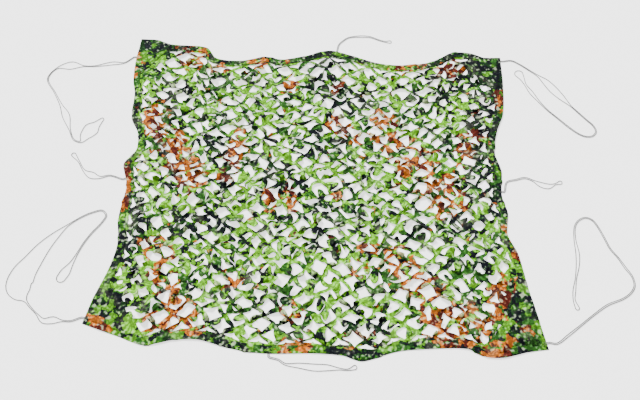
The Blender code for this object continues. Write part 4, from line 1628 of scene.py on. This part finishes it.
# %% Binding
BINDING_THICKNESS = 0.0006
BINDING_TOP = 0.0032        # middle of the upper leg, over net and patch
STITCH_INSET = 0.0305
PUCKER = 0.0015
PUCKER_SIZE = 0.016
BROAD_PUCKER = 0.6          # of the fine gathers, the height of the broad ones
BROAD_PUCKER_SIZE = 0.05
PUCKER_END, PUCKER_FADE = 0.034, 0.006      # the gathers die out towards the inner edge
STITCH_PULL, STITCH_DENT = 0.0006, 0.0022   # depth and half width of the dent of the seam
BINDING_DARKER = 0.20       # the binding's print gets more charcoal than the net's
LEG_INSETS = (0.0345, 0.0322, 0.0290, 0.0240, 0.0180, 0.0120, 0.0065, 0.0030)
LEG_REST = 0.0002           # air below the lower leg
FOLD_STEPS = 4
FOLD_START, FOLD_REACH = 0.0016, 0.0013     # inset where it starts, how far out it bulges


def pucker(point, inset):
    """Small gathers across the binding, strongest between stitches and fold."""
    wave = wave_at(point, PUCKER_SIZE, 1.3)
    wave += BROAD_PUCKER * wave_at(point, BROAD_PUCKER_SIZE, 6.1)
    return PUCKER * wave * smooth_step((PUCKER_END - inset) / PUCKER_FADE)


def binding_top(point, inset):
    """Height of the upper leg's middle surface."""
    pulled = STITCH_PULL * math.exp(-((inset - STITCH_INSET) / STITCH_DENT) ** 2)
    return BINDING_TOP + pucker(point, inset) - pulled + lift(point)


def binding_profile():
    """Insets across the strip with the share of the height: 0 is lower, 1 is upper."""
    fold = []
    for step in range(1, FOLD_STEPS):
        angle = math.pi * step / FOLD_STEPS
        fold.append((FOLD_START - FOLD_REACH * math.sin(angle), 0.5 - 0.5 * math.cos(angle)))
    return ([(inset, 0.0) for inset in LEG_INSETS] + fold
            + [(inset, 1.0) for inset in reversed(LEG_INSETS)])


def make_binding(side):
    """One binding strip, and its length."""
    profile = binding_profile()
    lines = [rail(side, inset) for inset, _ in profile]
    count, wide = len(lines[0]), len(profile)
    places, heights = [], []
    for station in range(count):
        for line, (inset, share) in zip(lines, profile):
            place = line[station].copy()
            if station in (0, count - 1):
                inner = line[1 if station == 0 else -2]
                place += (inner - place).normalized() * CLEARANCE
            low = BINDING_THICKNESS / 2 + LEG_REST + lift(place)
            heights.append(low + (binding_top(place, inset) - low) * share)
            places.append((place.x, place.y))
    faces = [(row * wide + i, row * wide + i + 1, (row + 1) * wide + i + 1, (row + 1) * wide + i)
             for row in range(count - 1) for i in range(wide - 1)]
    piece = plan_object("bound_edge_" + side, places, faces, heights)
    note_print(piece.data, places, darker=BINDING_DARKER)
    finish_cloth(piece, "binding_" + side, BINDING_THICKNESS, PRINTED_TAPE,
                 offset=0.0)
    return piece, length_of(lines[len(lines) // 2])


for side in SIDES:
    binding, binding_length = make_binding(side)
    print(binding.name, triangles(binding), "triangles", round(binding_length, 3), "m")

# %% [markdown]
# ## The corner patches
# Each patch is a triangle of uncut cloth. Two of its edges run in under the binding, and
# the free edge is turned under and sewn down. A grid of points inside the outline lets it
# pucker along that seam.

# %% Patches
PATCH_TOP = 0.0026
PATCH_THICKNESS = 0.0005
PATCH_GRID = 0.009
SEAM_INSET = 0.0035         # stitches this far inside the patch's free edge
HEM_WIDTH, HEM_DROP = 0.004, 0.0004         # the turned-under edge lies this much lower
PUFF = 0.0016               # how much the middle of a patch is puffed up
PUFF_SIZE = 0.06
PUFF_FADE = 0.03            # width beside the seam over which it is pulled flat
RIPPLE, RIPPLE_SIZE = 0.0005, 0.022         # fine unevenness of a patch
GRID_CLEAR = 0.6            # of the grid's pitch, from the outline to the nearest grid point


def patch_height(point, from_edge):
    """Height of a patch's face: puffed up a little inside, flat along its seam."""
    puffed = PUFF * (0.6 + wave_at(point, PUFF_SIZE, 8.2)) * smooth_step(from_edge / PUFF_FADE)
    rippled = RIPPLE * wave_at(point, RIPPLE_SIZE, 2.2)
    return PATCH_TOP + max(puffed, 0.0) + rippled + lift(point)


def grid_inside(outline, start, end):
    """Staggered grid of points inside a patch, clear of its outline."""
    turn = max(outline, key=lambda point: min((point - end).length, (point - start).length))
    low, high = [[pick(point[axis] for point in outline) for axis in (0, 1)]
                 for pick in (min, max)]
    spots = [Vector((low[0] + (column + 0.5 * (row % 2)) * PATCH_GRID, low[1] + row * PATCH_GRID))
             for row in range(int((high[1] - low[1]) / PATCH_GRID) + 1)
             for column in range(int((high[0] - low[0]) / PATCH_GRID) + 1)]
    return [spot for spot in spots
            if geometry.intersect_point_tri_2d(spot, turn, end, start)
            and min((spot - other).length for other in outline) > PATCH_GRID * GRID_CLEAR]


def make_patch(corner, reach_before, reach_after):
    """One corner patch, with a grid of points inside it for the puckers."""
    outer = patch_edge(corner, reach_before, reach_after, BINDING_WIDTH - PATCH_TUCK)
    start, end = PATCH_EDGES[corner][-1], PATCH_EDGES[corner][0]
    free = end - start
    steps = max(int(free.length / PATCH_GRID), 2)
    free_points = [start.lerp(end, step / steps) for step in range(1, steps)]
    outline = outer + [start] + free_points + [end]
    points = outline[::-1] + grid_inside(outline, start, end)
    plan = geometry.delaunay_2d_cdt(points, [], [list(range(len(outline)))], 1, 1e-6)
    places = [tuple(place) for place in plan[0]]
    heights = []
    for place in plan[0]:
        from_edge = (place - start).dot(inward_of(free))
        hem = 0.0 if from_edge > HEM_WIDTH else HEM_DROP
        heights.append(patch_height(place, from_edge) - hem)
    piece = plan_object("corner_patch_" + corner, places, [tuple(face) for face in plan[2]], heights)
    note_print(piece.data, places)
    finish_cloth(piece, "patch_" + corner, PATCH_THICKNESS, PRINTED_TAPE)
    return piece


for patch_row in PATCHES:
    make_patch(*patch_row)

# %% [markdown]
# ## Stitching
# The binding is sewn down by a row of lock stitches near its inner edge, and each patch by
# one along its free edge. Where a tie leaves, a short tight bar of stitches holds both ends
# of its cord in the fold. Hundreds of equal stitches on a path are work for Geometry Nodes:
# the path is evened out to one point a stitch, and a small spindle of thread is put on each
# point, turned along the path and half sunk in the cloth.

# %% Stitch tree
THREAD = 0.0008
STITCH_PITCH = 0.0048
STITCH_LENGTH = 0.0038

THREAD_OLIVE = (0.070, 0.095, 0.030, 1)
THREAD_FADED = (0.16, 0.18, 0.09, 1)


def make_stitch_tree():
    tree, given, result = new_tree(
        "stitches", "GeometryNodeTree",
        [("Path", "shape", None), ("Pitch", "value", STITCH_PITCH),
         ("Length", "value", STITCH_LENGTH), ("Thread", "value", THREAD),
         ("Material", "material", None)],
        [("Stitches", "shape")])
    spaced = add(tree, "GeometryNodeResampleCurve", mode="LENGTH",
                 inputs={"Curve": given["Path"], "Length": given["Pitch"]})[0]
    spindle = add(tree, "GeometryNodeMeshUVSphere",
                  inputs={"Segments": 6, "Rings": 4, "Radius": 0.5})[0]
    tangent = add(tree, "GeometryNodeInputTangent")[0]
    turned = add(tree, "FunctionNodeAlignRotationToVector", axis="Z",
                 inputs={"Vector": tangent})[0]
    size = add(tree, "ShaderNodeCombineXYZ", given["Thread"], given["Thread"], given["Length"])[0]
    placed = add(tree, "GeometryNodeInstanceOnPoints",
                 inputs={"Points": spaced, "Instance": spindle, "Rotation": turned,
                         "Scale": size})[0]
    finish_tree(tree, placed, given["Material"], result["Stitches"])
    return tree


STITCH_TREE = make_stitch_tree()
THREAD_MATERIAL = make_yarn_material(
    "sewing_thread", roughness=0.55, specular=0.4, grain=0.0005,
    colours=(THREAD_OLIVE, THREAD_FADED), wear_mask="Fade", wear_amount=0.4,
    relief=(0.0001, 0.4))
print("stitch tree:", len(STITCH_TREE.nodes), "nodes")

# %% [markdown]
# The paths: a row for each binding, a row for each patch from binding to binding, and for
# each tie a bar of a few short rows over the two ends of its cord.

# %% Stitches
SEAM_STEP = 0.009
BAR_ROWS = (0.0080, 0.0100, 0.0120)     # insets of a bar's rows from the edge
BAR_BEYOND = 0.005          # a bar reaches this far past the two cord ends
BAR_PITCH = 0.0022
BAR_STITCH = 0.0026


def binding_seam(side):
    """Path of the seam along one binding, on top of the cloth."""
    return [Vector((point.x, point.y, binding_top(point, STITCH_INSET) + BINDING_THICKNESS / 2))
            for point in rail(side, STITCH_INSET)]


def patch_seam(corner):
    """Path of the seam inside a patch's free edge."""
    start, end = PATCH_EDGES[corner][-1], PATCH_EDGES[corner][0]
    inward = inward_of(end - start)
    steps = max(int((end - start).length / SEAM_STEP), 2)
    seam = []
    for step in range(1, steps):
        point = start.lerp(end, step / steps) + inward * SEAM_INSET
        seam.append(Vector((point.x, point.y, patch_height(point, SEAM_INSET))))
    return seam


def tie_bar(name):
    """Short rows of stitches across the fold, over both ends of a tie's cord."""
    leaving, outward = exit_on(*TIES[name][:2])
    along = inward_of(outward)
    half = TIES[name][2][0][2] / 2 + BAR_BEYOND
    rows = []
    for inset in BAR_ROWS:
        middle = leaving - outward * inset
        height = binding_top(middle, inset) + BINDING_THICKNESS / 2
        ends = [middle - along * half, middle + along * half]
        rows.append([Vector((end.x, end.y, height)) for end in ends])
    return rows


def make_stitches(name, paths, pitch, length):
    """All stitches of one kind, along their paths."""
    stitches = run_tree(line_object(name, paths), STITCH_TREE, Pitch=pitch, Length=length,
                        Material=THREAD_MATERIAL)
    face_out(stitches)
    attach(stitches, "root")
    print(stitches.name, triangles(stitches), "triangles")
    return stitches


stitching = [
    make_stitches("binding_stitches", [binding_seam(side) for side in SIDES],
                  STITCH_PITCH, STITCH_LENGTH),
    make_stitches("patch_stitches", [patch_seam(row[0]) for row in PATCHES],
                  STITCH_PITCH, STITCH_LENGTH),
    make_stitches("tie_stitches", [row for name in TIES for row in tie_bar(name)],
                  BAR_PITCH, BAR_STITCH),
]

# %% [markdown]

# %% [markdown]
# ## Floor and light
# A plain pale floor and soft even light, so that the net is seen without hard shadows. The
# floor glows for the camera only, which keeps it pale and throws no light up at the cloth.

# %% Floor
FLOOR_GLOW = 1.6
FLOOR_HALF = 30.0
FLOOR_DROP = 0.0005         # the floor lies this far below the net


def make_floor():
    """A large pale plane, kept out of the object."""
    corners = [(x * FLOOR_HALF, y * FLOOR_HALF) for x, y in ((-1, -1), (1, -1), (1, 1), (-1, 1))]
    floor = plan_object("floor", corners, [(0, 1, 2, 3)])
    floor.location.z = -FLOOR_DROP
    made, tree, shader = new_material("pale_floor", roughness=0.9, specular=0.1)
    shader.inputs["Base Color"].default_value = (0.9, 0.9, 0.9, 1)
    shader.inputs["Emission Color"].default_value = (1, 1, 1, 1)
    seen = add(tree, "ShaderNodeLightPath")["Is Camera Ray"]
    feed(tree, shader.inputs["Emission Strength"], calc(tree, "MULTIPLY", seen, FLOOR_GLOW))
    floor.data.materials.append(made)


make_floor()

# %% [markdown]
# A broad sun stands behind the net and to its left, and a weak sky fills the shadows. The
# camera sees the sky a little darker than the floor, with a faint horizon between them.

# %% Light
SUN_POWER = 8.5
SUN_WIDTH = 0.35            # radians; a wide sun has soft shadows
SUN_TURN = (math.radians(-38), math.radians(-32), 0)
SKY_LIGHT = 0.55

sun = bpy.data.lights.new("sun", "SUN")
sun.energy = SUN_POWER
sun.angle = SUN_WIDTH
new_object("sun", sun).rotation_euler = SUN_TURN
world = bpy.data.worlds.new("world")
world.use_nodes = True
sky_tree = world.node_tree
sky = sky_tree.nodes["Background"].inputs
sky["Color"].default_value = (1, 1, 1, 1)
seen_sky = add(sky_tree, "ShaderNodeLightPath")["Is Camera Ray"]
feed(sky_tree, sky["Strength"], calc(sky_tree, "MULTIPLY_ADD", seen_sky, FLOOR_GLOW, SKY_LIGHT))
bpy.context.scene.world = world
